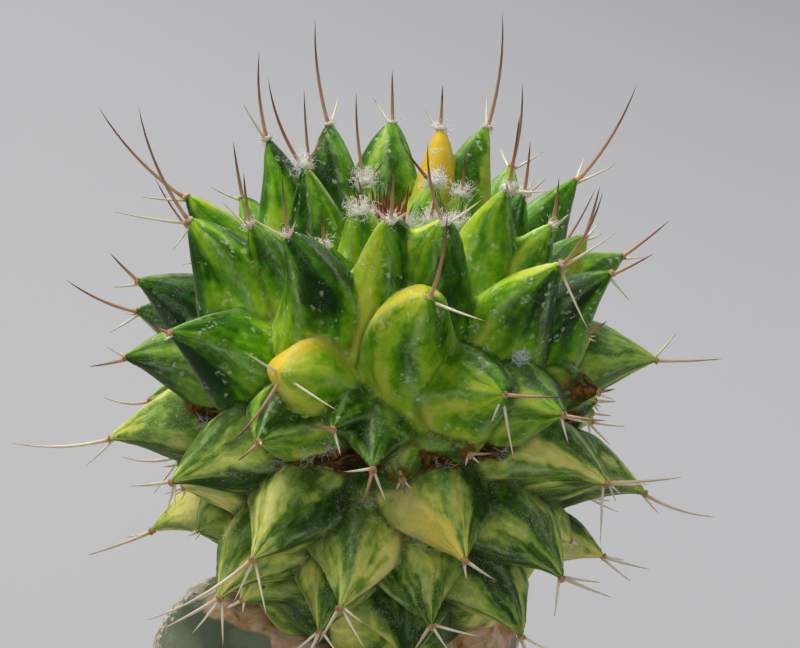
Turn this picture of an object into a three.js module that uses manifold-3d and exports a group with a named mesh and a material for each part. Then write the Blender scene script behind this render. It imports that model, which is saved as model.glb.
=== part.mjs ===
// A grafted mother of hundreds cactus in a clay pot: pot, soil, gravel, three-ribbed rootstock and scion.
// Millimetres, +Z up, origin at the middle of the pot's underside. The plant is seen from -Y.
import * as THREE from 'three';
import { mergeVertices } from 'three/addons/utils/BufferGeometryUtils.js';
import Module from 'manifold-3d';

const wasm = await Module();
wasm.setup();

// Driving dimensions

const POT = {
  height: 62,
  footRadius: 25,
  collarRadius: 36,
  collarHeight: 10,
  collarStep: 1.8,
  wall: 4,
  floor: 4.5,
  edge: 1.2,
  drainRadius: 2.2,
  drainRing: 11,
  drains: 3,
};
const CLEARANCE = 0.3;
// Flat sides that stand for each round shape
const SIDES = { pot: 48, bed: 36, stem: 36, body: 24, drain: 12, tubercle: 6 };
// Corners that fusing leaves nearer than this to a straight line are taken out
const TOLERANCE = 0.12;
const SOIL_TOP = 54;
const GRAVEL = { slabTop: 57.5, ringGap: 6.5, size: 3.9, mound: 1.8 };
const STOCK = {
  bottom: 34,
  top: 99,
  valley: 10,
  rib: 22,
  ribAtRim: 18.5,
  widest: 91,
  ribAzimuth: 165,
  sharpness: 1.7,
  graftRadius: 12,
  shoulder: 7,
  lip: 1,
  ribRing: 4,
  notch: 22,
  notchDepth: 0.06,
};
// Where the scion's widest level stands: the scion sits a little to one side, as it was grafted.
const SCION = { x: 3, y: 0, z: 118, lean: 0.05, foot: -19 };

// The scion's body, from the growing point down: radius and height above its widest level
const CORE = [
  [0, 20.6], [5, 20.4], [9, 19.2], [12.6, 17.2], [15.4, 14.4], [17.2, 11.6], [18.2, 8.6],
  [18.6, 6], [18.5, 4.6], [19.3, 2.4], [19.4, -1], [18.8, -4.6], [17.6, -8.6], [15.6, -13],
  [12, -19],
];

// How far down over the tips each tubercle stands, by its number along the spiral
const TURN = 137.943;
const FIRST_AZIMUTH = 239.7;
const TUBERCLES = 94;
const DOWN = [[0, 1], [8, 9.8], [16, 17.7], [28, 25.5], [42, 38.7], [60, 51.1], [92, 69.5]];

// By distance down over the tips: tip radius, tip height, root radius, root height, half width, half height
const ROWS = [
  [0, 0, 22.6, 0, 20, 1.4, 1.4],
  [4, 4, 24, 2.6, 20, 2.3, 2.3],
  [8.6, 7.5, 27, 6, 19.4, 3.2, 3.1],
  [12.8, 11, 29.3, 9.2, 18.2, 3.8, 3.6],
  [18.9, 17, 28.8, 12.6, 16.8, 4.1, 3.9],
  [22.3, 20, 27.2, 14.2, 15.4, 4.7, 4.3],
  [27, 22.6, 23.3, 15.8, 13.4, 5, 4.6],
  [34, 25.8, 17, 17, 11.4, 5.2, 4.8],
  [40, 27.1, 11.2, 17.8, 9.4, 5.2, 4.8],
  [44, 27.8, 7.3, 18.2, 7.4, 5.2, 4.7],
  [49, 28.2, 2.3, 18.8, 3.2, 5.3, 4.7],
  [53.5, 28.1, -2.2, 18.9, -0.2, 5.4, 4.7],
  [58.5, 27.5, -7, 18.4, -4, 5.4, 4.6],
  [64.8, 24.8, -12.8, 16.6, -9.4, 5, 3.9],
  [70, 18.6, -17.4, 13.6, -14.4, 4.4, 3.2],
];

// Tubercles that the photograph shows away from their place on the spiral: number, azimuth, distance down
const SEEN = new Map([
  [1, [315, 5]], [3, [277, 4.5]], [4, [53, 7]], [5, [236, 7.7]], [7, [122, 7]], [10, [165, 11.5]],
  [11, [327, 14.5]], [12, [72, 15.5]], [15, [142, 19]], [16, [285, 18.9]], [17, [58, 19]],
  [20, [115, 19]], [21, [267, 18]], [22, [34, 26.5]], [23, [168, 25.5]], [24, [316, 26]],
  [25, [92, 20.6]], [26, [237, 21.7]], [29, [278, 27]], [31, [195, 24.5]], [32, [334, 29]],
  [34, [246, 35]], [35, [24, 35]], [36, [180, 34]], [37, [294, 37]], [39, [213, 34.4]],
  [42, [258, 40]], [44, [192, 40.4]], [47, [243, 42]], [48, [9, 44.5]], [49, [165, 40]], [50, [308, 40.4]],
  [52, [222, 48.5]], [55, [267, 43.6]], [57, [180, 51.4]], [58, [320, 49]], [60, [243, 54]],
  [63, [286, 53.3]], [68, [261, 58.3]], [71, [309, 57.7]], [73, [233, 60]], [76, [280, 61]], [81, [256, 62]],
  [84, [303, 64.8]], [87, [6, 66.4]], [92, [291, 45]], [93, [274, 47.4]],
]);

// Tubercles stunted by the rest in growth or by their neighbours, or swollen, by number: share of the usual
// length, share of the usual girth
const STATURE = new Map([
  [6, [0.6, 0.9]], [8, [0.6, 0.8]], [9, [0.6, 0.9]], [12, [1, 0.75]], [13, [0.55, 0.85]], [14, [0.7, 0.9]],
  [16, [1, 1.15]], [17, [1, 0.9]], [18, [0.7, 0.9]], [19, [0.7, 0.95]], [20, [1, 0.9]], [21, [1, 1.15]],
  [26, [1, 0.95]], [27, [0.65, 0.9]], [28, [0.75, 0.95]], [29, [1, 0.95]], [31, [1, 1.08]],
  [34, [1, 0.82]], [40, [0.3, 0.9]], [42, [0.9, 0.62]],
  [45, [0.7, 0.8]], [53, [0.3, 0.85]], [55, [1, 0.65]], [61, [0.35, 0.85]], [65, [0.4, 0.9]],
  [66, [0.55, 0.9]], [70, [0.3, 0.85]], [78, [0.3, 0.85]], [79, [0.35, 0.85]], [86, [0.5, 0.9]],
  [91, [0.6, 0.9]], [92, [0.42, 0.72]], [93, [0.36, 0.6]],
]);

// Spines that the photograph shows, by tubercle: length, rise above level in degrees, swing in azimuth
const SPINES = new Map([
  [4, [[5, 52, 120], [3, 70, -40]]],
  [5, [[2.6, 84, 0], [3, 55, -60]]],
  [7, [[9.5, 80, 0], [3, 45, 60], [3.2, 50, -100]]],
  [10, [[10, 70, 15], [5.3, 60, -165]]],
  [11, [[8, 82, 20], [5, 8, 13], [4, 30, -60]]],
  [12, [[5, 80, 0], [3, 40, 60]]],
  [15, [[9.5, 84, 0], [5, 60, 50]]],
  [16, [[8.5, 79, -100], [4.5, 37, 75], [2.5, 20, -30]]],
  [17, [[12.5, 81, -20], [5, 40, 30]]],
  [20, [[11.5, 80, 20], [5, 35, -40]]],
  [21, [[7, 78, 20], [3.5, 50, -60], [3, 40, 60]]],
  [22, [[12, 56, -14], [5, 20, 40], [5, 30, -50]]],
  [23, [[13, 46, 2], [5, 10, 30]]],
  [24, [[9.5, 62, 14], [7, 37, 24], [7, -57, 4]]],
  [25, [[6, 80, 0], [4, 40, 40]]],
  [26, [[6.5, 82, 0], [5, 33, -47], [2.6, 60, 70]]],
  [29, [[10, 75, 32], [7, -4, 42]]],
  [31, [[13, 68, -15], [8, 14, 0], [3.3, -37, 35]]],
  [32, [[5, 30, 20], [3.2, -50, 20]]],
  [34, [[9, -36, -21], [7, -19, 79], [5, 37, -46]]],
  [35, [[6.5, 35, -10], [4, -10, 20]]],
  [36, [[4.5, 47, 0], [3, 0, 20]]],
  [37, [[7, 9, 36], [7, -74, 16], [3, -50, -60]]],
  [39, [[2.6, 30, -20], [2, 0, 30]]],
  [42, [[3, 20, -40], [3, -40, 30]]],
  [44, [[4, -8, 0], [2.5, 30, -10]]],
  [45, [[2.5, 20, 0], [2, -20, 30]]],
  [47, [[3, -30, -30], [2, 10, 30]]],
  [48, [[7.5, -2, 0], [4, 40, 20]]],
  [50, [[5, 5, 20], [3, -65, 0], [3, -20, 60]]],
  [52, [[4.6, 0, -25], [3.6, -70, 0], [3, -50, 50]]],
  [55, [[4, -60, -30], [3.6, -60, 50], [3, 0, -70]]],
  [57, [[10.5, -3, 0], [4, -40, 20]]],
  [58, [[7.8, 10, 26], [4.6, 0, 36], [6, -76, -60]]],
  [60, [[12, -22, -38], [6.5, -50, 46], [5, -60, -30]]],
  [63, [[4, -20, 40], [2.2, -60, 0]]],
  [68, [[4.6, -40, -30], [5.2, -38, 46], [3.2, -20, 60]]],
  [71, [[6, -8, 18], [4.2, 0, 30], [4, -70, -60]]],
  [74, [[8.5, -22, 0], [4, -50, 30]]],
  [76, [[4, -50, -40], [4, -60, 20], [5.6, -6, 60]]],
  [83, [[8, -24, 4], [4, -50, -20]]],
]);
const SPINE_RADIUS = { long: 0.3, short: 0.22 };
const SPINE_ROOT = 0.8;
// The least length of the long spine by distance down, where the photograph doesn't show it
const LONG_SPINE = [[0, 6], [23, 6], [26, 8], [46, 8], [49, 6], [60, 6], [62, 3.5]];
// From here down, no spine points lower than this, so that all stay clear of the rootstock
const LOWEST_ROWS = { from: 60, rise: -24 };

// Materials

const colours = {
  clay: { color: 0xb0653f, roughness: 0.9, metalness: 0 },
  soil: { color: 0x3a2c20, roughness: 1, metalness: 0 },
  gravel: { color: 0x9a8a74, roughness: 0.85, metalness: 0 },
  stock: { color: 0x66765a, roughness: 0.6, metalness: 0 },
  scion: { color: 0x5f7f2c, roughness: 0.45, metalness: 0 },
};

// Numbers

const radians = (degrees) => (degrees * Math.PI) / 180;

// A repeatable number from 0 to 1 for item k, draw j
function draw(k, j) {
  const value = Math.sin(k * 12.9898 + j * 78.233) * 43758.5453;
  return value - Math.floor(value);
}

// The columns of a table at a value of its first column, straight between its rows
function read(table, at) {
  let i = 1;
  while (i < table.length - 1 && table[i][0] < at) i += 1;
  const [low, high] = [table[i - 1], table[i]];
  const share = (at - low[0]) / (high[0] - low[0]);
  return low.slice(1).map((value, c) => value + share * (high[c + 1] - value));
}

// Solids

function solid(geometry) {
  geometry.deleteAttribute('normal');
  geometry.deleteAttribute('uv');
  const merged = mergeVertices(geometry, 1e-5);
  return new wasm.Manifold(new wasm.Mesh({
    numProp: 3,
    vertProperties: new Float32Array(merged.attributes.position.array),
    triVerts: new Uint32Array(merged.index.array),
  }));
}

function surface(manifold) {
  const data = manifold.getMesh();
  const geometry = new THREE.BufferGeometry();
  geometry.setAttribute('position', new THREE.BufferAttribute(data.vertProperties, 3));
  geometry.setIndex(new THREE.BufferAttribute(data.triVerts, 1));
  return geometry;
}

// The largest body of a solid, with any hollow that fusing sealed filled. Corners that fall together once
// their coordinates are rounded can seal one more, so the body is made anew from them and sorted again.
function whole(manifold) {
  const largest = (fused) => fused.decompose().reduce((a, b) => (b.volume() > a.volume() ? b : a));
  return largest(solid(surface(largest(manifold.simplify(TOLERANCE)))));
}

function mesh(name, manifold, colour) {
  const geometry = surface(whole(manifold));
  geometry.computeVertexNormals();
  const piece = new THREE.Mesh(geometry, new THREE.MeshStandardMaterial(colour));
  piece.name = name;
  return piece;
}

// A closed body through rings of points that all have one count, each end closed by a fan or a point
function loft(rings, point) {
  const count = rings[0].length;
  const corners = rings.flat();
  const faces = [];
  for (let r = 0; r + 1 < rings.length; r += 1) {
    for (let i = 0; i < count; i += 1) {
      const a = r * count + i;
      const b = r * count + ((i + 1) % count);
      faces.push(a, b, b + count, a, b + count, a + count);
    }
  }
  const last = (rings.length - 1) * count;
  for (let i = 1; i + 1 < count; i += 1) faces.push(0, i + 1, i);
  if (point) {
    corners.push(point);
    for (let i = 0; i < count; i += 1) faces.push(last + i, last + ((i + 1) % count), corners.length - 1);
  } else {
    for (let i = 1; i + 1 < count; i += 1) faces.push(last, last + i, last + i + 1);
  }
  const positions = corners.flatMap((p) => [p.x, p.y, p.z]);
  const geometry = new THREE.BufferGeometry();
  geometry.setAttribute('position', new THREE.Float32BufferAttribute(positions, 3));
  geometry.setIndex(faces);
  return geometry;
}

// Turned about the upright axis: profile pairs are radius and height, closed or from axis to axis
function turned(profile, sides) {
  const points = profile.map(([r, z]) => new THREE.Vector2(r, z));
  const geometry = new THREE.LatheGeometry(points, sides);
  geometry.rotateX(Math.PI / 2);
  return solid(geometry);
}

function upright(radius, bottom, top, sides) {
  const geometry = new THREE.CylinderGeometry(radius, radius, top - bottom, sides);
  geometry.rotateX(Math.PI / 2);
  geometry.translate(0, 0, (bottom + top) / 2);
  return solid(geometry);
}

// Pot

function wallRadius(z) {
  const rise = (z - POT.floor) / (POT.height - POT.floor);
  const low = POT.footRadius - POT.wall;
  const high = POT.collarRadius - POT.wall;
  return low + rise * (high - low);
}

function pot() {
  const collarFoot = POT.height - POT.collarHeight;
  const sideRadius = wallRadius(collarFoot) + POT.wall - POT.collarStep * 0.4;
  const profile = [
    [0, 0],
    [POT.footRadius - POT.edge, 0],
    [POT.footRadius, POT.edge],
    [sideRadius, collarFoot],
    [POT.collarRadius - POT.edge, collarFoot + 0.4],
    [POT.collarRadius - 0.4, collarFoot + POT.edge],
    [POT.collarRadius, POT.height - POT.edge],
    [POT.collarRadius - POT.edge, POT.height],
    [wallRadius(POT.height) + POT.edge * 0.6, POT.height],
    [wallRadius(POT.height), POT.height - POT.edge],
    [wallRadius(POT.floor), POT.floor],
    [0, POT.floor],
  ];
  let body = turned(profile, SIDES.pot);
  for (let i = 0; i < POT.drains; i += 1) {
    const drain = upright(POT.drainRadius, -1, POT.floor + 1, SIDES.drain);
    const azimuth = (i * 2 * Math.PI) / POT.drains;
    const [x, y] = [POT.drainRing * Math.cos(azimuth), POT.drainRing * Math.sin(azimuth)];
    body = body.subtract(drain.translate([x, y, 0]));
  }
  return body;
}

// Rootstock: a three-ribbed stem, cut flat for the graft with each rib bevelled outside it

// How far out the ribs reach at a height: they dip at each notch
function ribReach(z) {
  const wave = Math.cos((2 * Math.PI * (z - STOCK.widest)) / STOCK.notch);
  return STOCK.rib * (1 - STOCK.notchDepth * (0.5 - 0.5 * wave));
}

function stockRadius(azimuth, reach) {
  const rib = (1 + Math.cos(3 * (azimuth - radians(STOCK.ribAzimuth)))) / 2;
  return STOCK.valley + (reach - STOCK.valley) * rib ** STOCK.sharpness;
}

function stockRing(z, reach = ribReach(z), spare = 0) {
  const ring = [];
  for (let i = 0; i < SIDES.stem; i += 1) {
    const azimuth = (2 * Math.PI * i) / SIDES.stem + radians(STOCK.ribAzimuth);
    const radius = stockRadius(azimuth, reach) + spare;
    ring.push(new THREE.Vector3(radius * Math.cos(azimuth), radius * Math.sin(azimuth), z));
  }
  return ring;
}

// How far a rib's end has been pared down: the first rib was left standing, the others are bevelled
function bevel(azimuth, radius) {
  const first = Math.cos(azimuth - radians(STOCK.ribAzimuth)) > 0.5;
  return Math.max(0, radius - STOCK.graftRadius) * (first ? -0.1 : 0.5);
}

function stock() {
  const rings = [];
  const straight = STOCK.top - STOCK.shoulder - STOCK.bottom;
  const bands = Math.round(straight / STOCK.ribRing);
  for (let i = 0; i <= bands; i += 1) rings.push(stockRing(STOCK.bottom + (straight * i) / bands));
  const slope = [];
  const graft = [];
  const rim = [];
  stockRing(STOCK.top, STOCK.ribAtRim).forEach((corner, i) => {
    const azimuth = Math.atan2(corner.y, corner.x);
    const radius = Math.hypot(corner.x, corner.y);
    const inner = Math.min(radius - STOCK.lip, STOCK.graftRadius);
    const edge = new THREE.Vector3(corner.x, corner.y, STOCK.top - bevel(azimuth, radius) - STOCK.lip);
    const halfway = rings[bands][i].clone().lerp(edge, 0.25).setZ((rings[bands][i].z + edge.z) / 2);
    rim.push(edge);
    slope.push(halfway);
    graft.push(new THREE.Vector3(inner * Math.cos(azimuth), inner * Math.sin(azimuth), STOCK.top));
  });
  rings.push(slope, rim, graft);
  let body = solid(loft(rings));
  for (let rib = 0; rib < 3; rib += 1) {
    const azimuth = radians(STOCK.ribAzimuth + 120 * rib);
    const z = STOCK.widest - STOCK.notch / 2;
    const reach = ribReach(z) - 1;
    const from = new THREE.Vector3(reach * Math.cos(azimuth), reach * Math.sin(azimuth), z);
    for (const side of [-1, 0, 1]) {
      const rise = radians(18 + 10 * draw(rib, side + 1));
      body = body.add(spine(from, azimuth + side * radians(34), rise, 4, SPINE_RADIUS.long));
    }
  }
  return body;
}

// Soil and gravel, with a hole of the stem's own outline

function stemHole(bottom, top) {
  return solid(loft([bottom, top].map((z) => stockRing(z, STOCK.rib, CLEARANCE))));
}

function soil() {
  const bottomRadius = wallRadius(POT.floor) - CLEARANCE;
  const topRadius = wallRadius(SOIL_TOP) - CLEARANCE;
  const profile = [[0, POT.floor], [bottomRadius, POT.floor], [topRadius, SOIL_TOP], [0, SOIL_TOP]];
  const fill = turned(profile, SIDES.bed);
  return fill.subtract(stemHole(STOCK.bottom, SOIL_TOP + 1));
}

// One pebble: a rounded block, squashed and turned by its own draws
function pebble(k, x, y, z) {
  const geometry = new THREE.IcosahedronGeometry(GRAVEL.size * (0.8 + 0.45 * draw(k, 1)), 0);
  geometry.scale(1 + 0.3 * draw(k, 2), 0.85 + 0.2 * draw(k, 3), 0.62 + 0.25 * draw(k, 4));
  geometry.rotateZ(2 * Math.PI * draw(k, 5));
  geometry.rotateX(0.7 * (draw(k, 6) - 0.5));
  geometry.translate(x, y, z);
  return solid(geometry);
}

function gravel() {
  const reach = wallRadius(SOIL_TOP) - CLEARANCE;
  let bed = upright(reach, SOIL_TOP, GRAVEL.slabTop, SIDES.bed);
  const rings = Math.floor((reach - 4) / GRAVEL.ringGap);
  let k = 0;
  for (let ring = 0; ring <= rings; ring += 1) {
    const radius = reach - 2.6 - ring * GRAVEL.ringGap;
    const around = Math.floor((2 * Math.PI * radius) / GRAVEL.ringGap);
    for (let i = 0; i < around; i += 1) {
      k += 1;
      const azimuth = (2 * Math.PI * (i + 0.5 * draw(k, 7))) / around;
      if (radius < stockRadius(azimuth, STOCK.rib) - 1.5) continue;
      const z = GRAVEL.slabTop + GRAVEL.mound * (1 - radius / reach) + 1.2 * draw(k, 8);
      bed = bed.add(pebble(k, radius * Math.cos(azimuth), radius * Math.sin(azimuth), z));
    }
  }
  const above = POT.height + 2 * GRAVEL.size;
  const inside = upright(reach, SOIL_TOP, above, SIDES.bed);
  return bed.intersect(inside).subtract(stemHole(SOIL_TOP - 1, above + 1));
}

// Scion

// A three-sided spine from a point, in a direction, slightly bent up where it is long
function spine(from, azimuth, rise, length, radius) {
  const toward = (angle) => new THREE.Vector3(
    Math.cos(angle) * Math.cos(azimuth),
    Math.cos(angle) * Math.sin(azimuth),
    Math.sin(angle),
  );
  const bend = length > 8 ? radians(7) : 0;
  const middle = from.clone().addScaledVector(toward(rise - bend), length * 0.5);
  const tip = middle.clone().addScaledVector(toward(rise + bend), length * 0.5);
  const along = toward(rise);
  const side = new THREE.Vector3(-Math.sin(azimuth), Math.cos(azimuth), 0);
  const over = new THREE.Vector3().crossVectors(along, side);
  const ring = (centre, size) => [0, 1, 2].map((i) => centre.clone()
    .addScaledVector(side, size * Math.cos((2 * Math.PI * i) / 3))
    .addScaledVector(over, size * Math.sin((2 * Math.PI * i) / 3)));
  const rings = [ring(from, radius)];
  if (bend > 0) rings.push(ring(middle, radius * 0.72));
  return solid(loft(rings, tip));
}

// The place of a tubercle: azimuth in degrees and distance down over the tips
function place(k) {
  return SEEN.get(k) ?? [(FIRST_AZIMUTH + TURN * k) % 360, read(DOWN, k)[0]];
}

function onScion(azimuth, radius, height) {
  return new THREE.Vector3(
    SCION.x + radius * Math.cos(azimuth) + SCION.lean * Math.max(height, 0),
    SCION.y + radius * Math.sin(azimuth),
    SCION.z + height,
  );
}

// A tubercle's form: its girth at the foot as a share of the row's, the power by which it wears away from
// just under the skin to the tip, how near its section is to a diamond, and how far its middle rises over
// the straight line, as a share of its length
const FORM = { foot: 1.14, start: 0.05, wear: 1.5, diamond: 1.6, bow: 0.28 };
// How sharp the tip is, as a second power, by distance down over the tips
const POINT = [[0, 1.15], [25, 1.15], [45, 1.35], [55, 1.45], [70, 1.45]];
const STATIONS = [-0.3, 0.25, 0.62];

function girthAt(u, point) {
  const way = Math.max(0, (u + FORM.start) / (1 + FORM.start));
  return FORM.foot * (1 - way ** FORM.wear) ** point;
}

function tubercle(k) {
  const [degrees, down] = place(k);
  const azimuth = radians(degrees);
  const [tipRadius, tipHeight, rootRadius, rootHeight, wide, tall] = read(ROWS, down);
  const [stature, girth] = STATURE.get(k) ?? [1, 1];
  const [point] = read(POINT, down);
  const root = onScion(azimuth, rootRadius, rootHeight);
  const tip = root.clone().lerp(onScion(azimuth, tipRadius, tipHeight), stature);
  const axis = tip.clone().sub(root);
  const length = axis.length();
  const side = new THREE.Vector3(-Math.sin(azimuth), Math.cos(azimuth), 0);
  const over = new THREE.Vector3().crossVectors(axis, side).normalize();
  const rings = STATIONS.map((u) => {
    const rise = FORM.bow * length * u * (1 - u);
    const centre = root.clone().addScaledVector(axis, u).addScaledVector(over, rise);
    const size = girthAt(u, point) * girth;
    const ring = [];
    for (let i = 0; i < SIDES.tubercle; i += 1) {
      const angle = (2 * Math.PI * i) / SIDES.tubercle;
      const [c, s] = [Math.cos(angle), Math.sin(angle)];
      const reach = size * (Math.abs(c) ** FORM.diamond + Math.abs(s) ** FORM.diamond) ** (-1 / FORM.diamond);
      const across = centre.clone().addScaledVector(side, wide * reach * c);
      ring.push(across.addScaledVector(over, tall * reach * s));
    }
    return ring;
  });
  const body = solid(loft(rings, tip));
  return { azimuth: degrees, down, stature, tip, axis: axis.normalize(), body };
}

// The spines of a tubercle that the photograph doesn't show: one long and two or three short. They are made
// as stunted as the tubercle afterwards.
function usualSpines(k, down, rise) {
  if (down < 8) return [[4 + 2 * draw(k, 11), 74, 40 * (draw(k, 12) - 0.5)], [3, 60, 120], [2.6, 60, -110]];
  const lower = down > 46;
  const long = read(LONG_SPINE, down)[0] + 3 * draw(k, 11);
  const lift = lower ? rise - 8 + 14 * draw(k, 13) : Math.min(rise + 14 + 16 * draw(k, 13), 84);
  return [
    [long, lift, 40 * (draw(k, 12) - 0.5)],
    [3.5 + 2 * draw(k, 14), rise - 34, 34 + 16 * draw(k, 15)],
    [3.5 + 2 * draw(k, 16), rise - 30, -34 - 16 * draw(k, 17)],
  ];
}

function scion() {
  const outline = CORE.map(([r, z]) => [r, z]);
  outline.push([0, SCION.foot]);
  let body = turned(outline.reverse(), SIDES.body).warp((p) => {
    p[0] += SCION.lean * Math.max(p[2], 0);
  }).translate([SCION.x, SCION.y, SCION.z]);
  const grown = [];
  for (let k = 0; k < TUBERCLES; k += 1) grown.push(tubercle(k));
  body = wasm.Manifold.union([body, ...grown.map((one) => one.body)]);
  const spines = [];
  grown.forEach(({ azimuth, down, stature, tip, axis }, k) => {
    const rise = (Math.asin(axis.z) * 180) / Math.PI;
    const from = tip.clone().addScaledVector(axis, -SPINE_ROOT);
    const share = SPINES.has(k) ? 1 : stature;
    (SPINES.get(k) ?? usualSpines(k, down, rise)).forEach(([length, lift, swing], j) => {
      const radius = j === 0 ? SPINE_RADIUS.long : SPINE_RADIUS.short;
      const clear = down > LOWEST_ROWS.from ? Math.max(lift, LOWEST_ROWS.rise) : lift;
      const reach = Math.max(length * share, SPINE_ROOT * 2);
      spines.push(spine(from, radians(azimuth + swing), radians(clear), reach, radius));
    });
  });
  return wasm.Manifold.union([body, ...spines]);
}

const cactus = new THREE.Group();
cactus.add(mesh('pot', pot(), colours.clay));
cactus.add(mesh('soil', soil(), colours.soil));
cactus.add(mesh('gravel', gravel(), colours.gravel));
cactus.add(mesh('rootstock', stock(), colours.stock));
cactus.add(mesh('scion', scion(), colours.scion));

export default cactus;
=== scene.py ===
# %% [markdown]
# # A grafted mother of hundreds cactus, dressed for the camera
#
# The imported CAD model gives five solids: pot, soil, gravel, rootstock and scion (the grafted head).
# This lesson replaces the faceted ones with fine surfaces that keep their form, and adds what is too small
# for CAD: felt and wool, unspread spines, the streaks of a variegated skin, dry skin in the crease, and grit.
# Lengths are written in millimetres, as a grower measures a plant, and turned into metres once, where a mesh
# is made. The places of the tubercles and spines repeat the rules of the part's source.

import bpy
import numpy as np
from mathutils import Matrix, Vector


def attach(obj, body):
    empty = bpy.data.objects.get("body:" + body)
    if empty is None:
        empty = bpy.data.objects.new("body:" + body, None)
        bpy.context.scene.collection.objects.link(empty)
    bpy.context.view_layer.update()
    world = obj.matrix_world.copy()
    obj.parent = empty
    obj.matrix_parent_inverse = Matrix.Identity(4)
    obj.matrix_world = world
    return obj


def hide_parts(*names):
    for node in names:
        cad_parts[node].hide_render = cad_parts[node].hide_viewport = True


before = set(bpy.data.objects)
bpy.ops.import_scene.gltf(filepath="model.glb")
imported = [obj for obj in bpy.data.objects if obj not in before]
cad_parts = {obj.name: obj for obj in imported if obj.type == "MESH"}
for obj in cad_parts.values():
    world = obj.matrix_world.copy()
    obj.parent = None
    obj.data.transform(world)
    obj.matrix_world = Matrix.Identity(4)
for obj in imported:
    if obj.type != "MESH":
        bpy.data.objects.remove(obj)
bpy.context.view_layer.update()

MM = 0.001
print("nodes:", sorted(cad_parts))

# %% [markdown]
# The photograph was taken from about 20 degrees above, through a long lens that stood some 380 mm away.
# A narrow field of view keeps the near and the far tubercles at almost one size, so the lens is set first.

# %% Camera
CAMERA = {"target": (4.5, 0.0, 130.3), "distance": 380.0, "elevation": 20.0, "lens": 171.0, "sensor": 36.0}

camera_data = bpy.data.cameras.new("camera")
camera_data.lens = CAMERA["lens"]
camera_data.sensor_width = CAMERA["sensor"]
camera_data.clip_start = 0.01
camera_data.clip_end = 10.0
camera = bpy.data.objects.new("camera", camera_data)
bpy.context.scene.collection.objects.link(camera)
elevation = np.radians(CAMERA["elevation"])
back = Vector((0.0, -np.cos(elevation), np.sin(elevation)))
camera.location = (Vector(CAMERA["target"]) + back * CAMERA["distance"]) * MM
camera.rotation_euler = (-back).to_track_quat("-Z", "Y").to_euler()
bpy.context.scene.camera = camera
bpy.context.scene.view_settings.view_transform = "Standard"

# %% [markdown]
# Every number that looks random below comes from one small rule, the fraction of a fast sine. It is the rule
# of the part's source too, so a tubercle or a pebble gets the same draw in both.

# %% Draws and tables
def draw(k, j):
    """A number from 0 to 1 for thing k and question j: the fractional part of a fast sine."""
    value = np.sin(np.asarray(k) * 12.9898 + j * 78.233) * 43758.5453
    return value - np.floor(value)


def read(table, at):
    """Each column of a table at the given values of its first column, straight between its rows."""
    rows = np.array(table, float)
    return [np.interp(at, rows[:, 0], column) for column in rows.T[1:]]


# %% [markdown]
# A shape here is a grid of points: rings that follow each other, with the same number of points round each.
# Joining neighbours gives quads, and a fan closes each end. Many alike shapes, such as all the tubercles, are
# one array with one more dimension, so no loop runs over points.

# %% Grids of points become meshes
def grid_faces(shells, rings, sides, loop=False):
    """Quads of so many shells of rings by sides points. With loop, the last ring joins the first."""
    spans = rings if loop else rings - 1
    shell = np.arange(shells)[:, None, None] * rings * sides
    ring = np.arange(spans)[None, :, None]
    side = np.arange(sides)[None, None, :]
    here = shell + ring * sides
    above = shell + ((ring + 1) % rings) * sides
    across = (side + 1) % sides
    quads = np.stack([here + side, here + across, above + across, above + side], axis=-1)
    return quads.reshape(-1, 4)


def end_fans(shells, rings, sides):
    """Triangles that close the first and the last ring of each shell on a pole. The poles follow all the grid
    points: first every shell's low pole, then every shell's high pole."""
    shell = np.arange(shells)[:, None]
    side = np.arange(sides)[None, :]
    first = shell * rings * sides
    last = first + (rings - 1) * sides
    low = shells * rings * sides + shell + 0 * side
    high = low + shells
    across = (side + 1) % sides
    bottom = np.stack([first + across, first + side, low], axis=-1)
    top = np.stack([last + side, last + across, high], axis=-1)
    return np.concatenate([bottom.reshape(-1, 3), top.reshape(-1, 3)])


def make_mesh(name, points, quads, triangles=(), **values):
    """A smooth mesh object in metres from points in mm. Each keyword gives an attribute: one number for every
    point, or one vector."""
    quads = np.asarray(quads, np.int32).reshape(-1, 4)
    triangles = np.asarray(triangles, np.int32).reshape(-1, 3)
    corners = np.concatenate([quads.ravel(), triangles.ravel()])
    quad_starts = np.arange(len(quads)) * 4
    starts = np.concatenate([quad_starts, quads.size + np.arange(len(triangles)) * 3])
    mesh = bpy.data.meshes.new(name)
    mesh.vertices.add(len(points))
    mesh.vertices.foreach_set("co", (np.asarray(points, np.float32) * MM).ravel())
    mesh.loops.add(len(corners))
    mesh.loops.foreach_set("vertex_index", corners.astype(np.int32))
    mesh.polygons.add(len(starts))
    mesh.polygons.foreach_set("loop_start", starts.astype(np.int32))
    mesh.polygons.foreach_set("use_smooth", np.ones(len(starts), bool))
    for key, value in values.items():
        value = np.asarray(value, np.float32)
        kind, field = ("FLOAT", "value") if value.ndim == 1 else ("FLOAT_VECTOR", "vector")
        mesh.attributes.new(key, kind, "POINT").data.foreach_set(field, value.ravel())
    mesh.update(calc_edges=True)
    mesh.validate()
    piece = bpy.data.objects.new(name, mesh)
    bpy.context.scene.collection.objects.link(piece)
    print(name, len(points), "points,", 2 * len(quads) + len(triangles), "triangles")
    return piece


def closed(points):
    """Grid points of shape (shells, rings, sides, 3), and a pole amid each first and last ring."""
    low = points[:, 0].mean(axis=1)
    high = points[:, -1].mean(axis=1)
    return np.concatenate([points.reshape(-1, 3), low, high])


def spread(values, points):
    """One number for every grid point and pole, from values that broadcast to (shells, rings, sides)."""
    grid = np.broadcast_to(values, points.shape[:3])
    return np.concatenate([grid.ravel(), grid[:, 0].mean(axis=1), grid[:, -1].mean(axis=1)])


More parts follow.
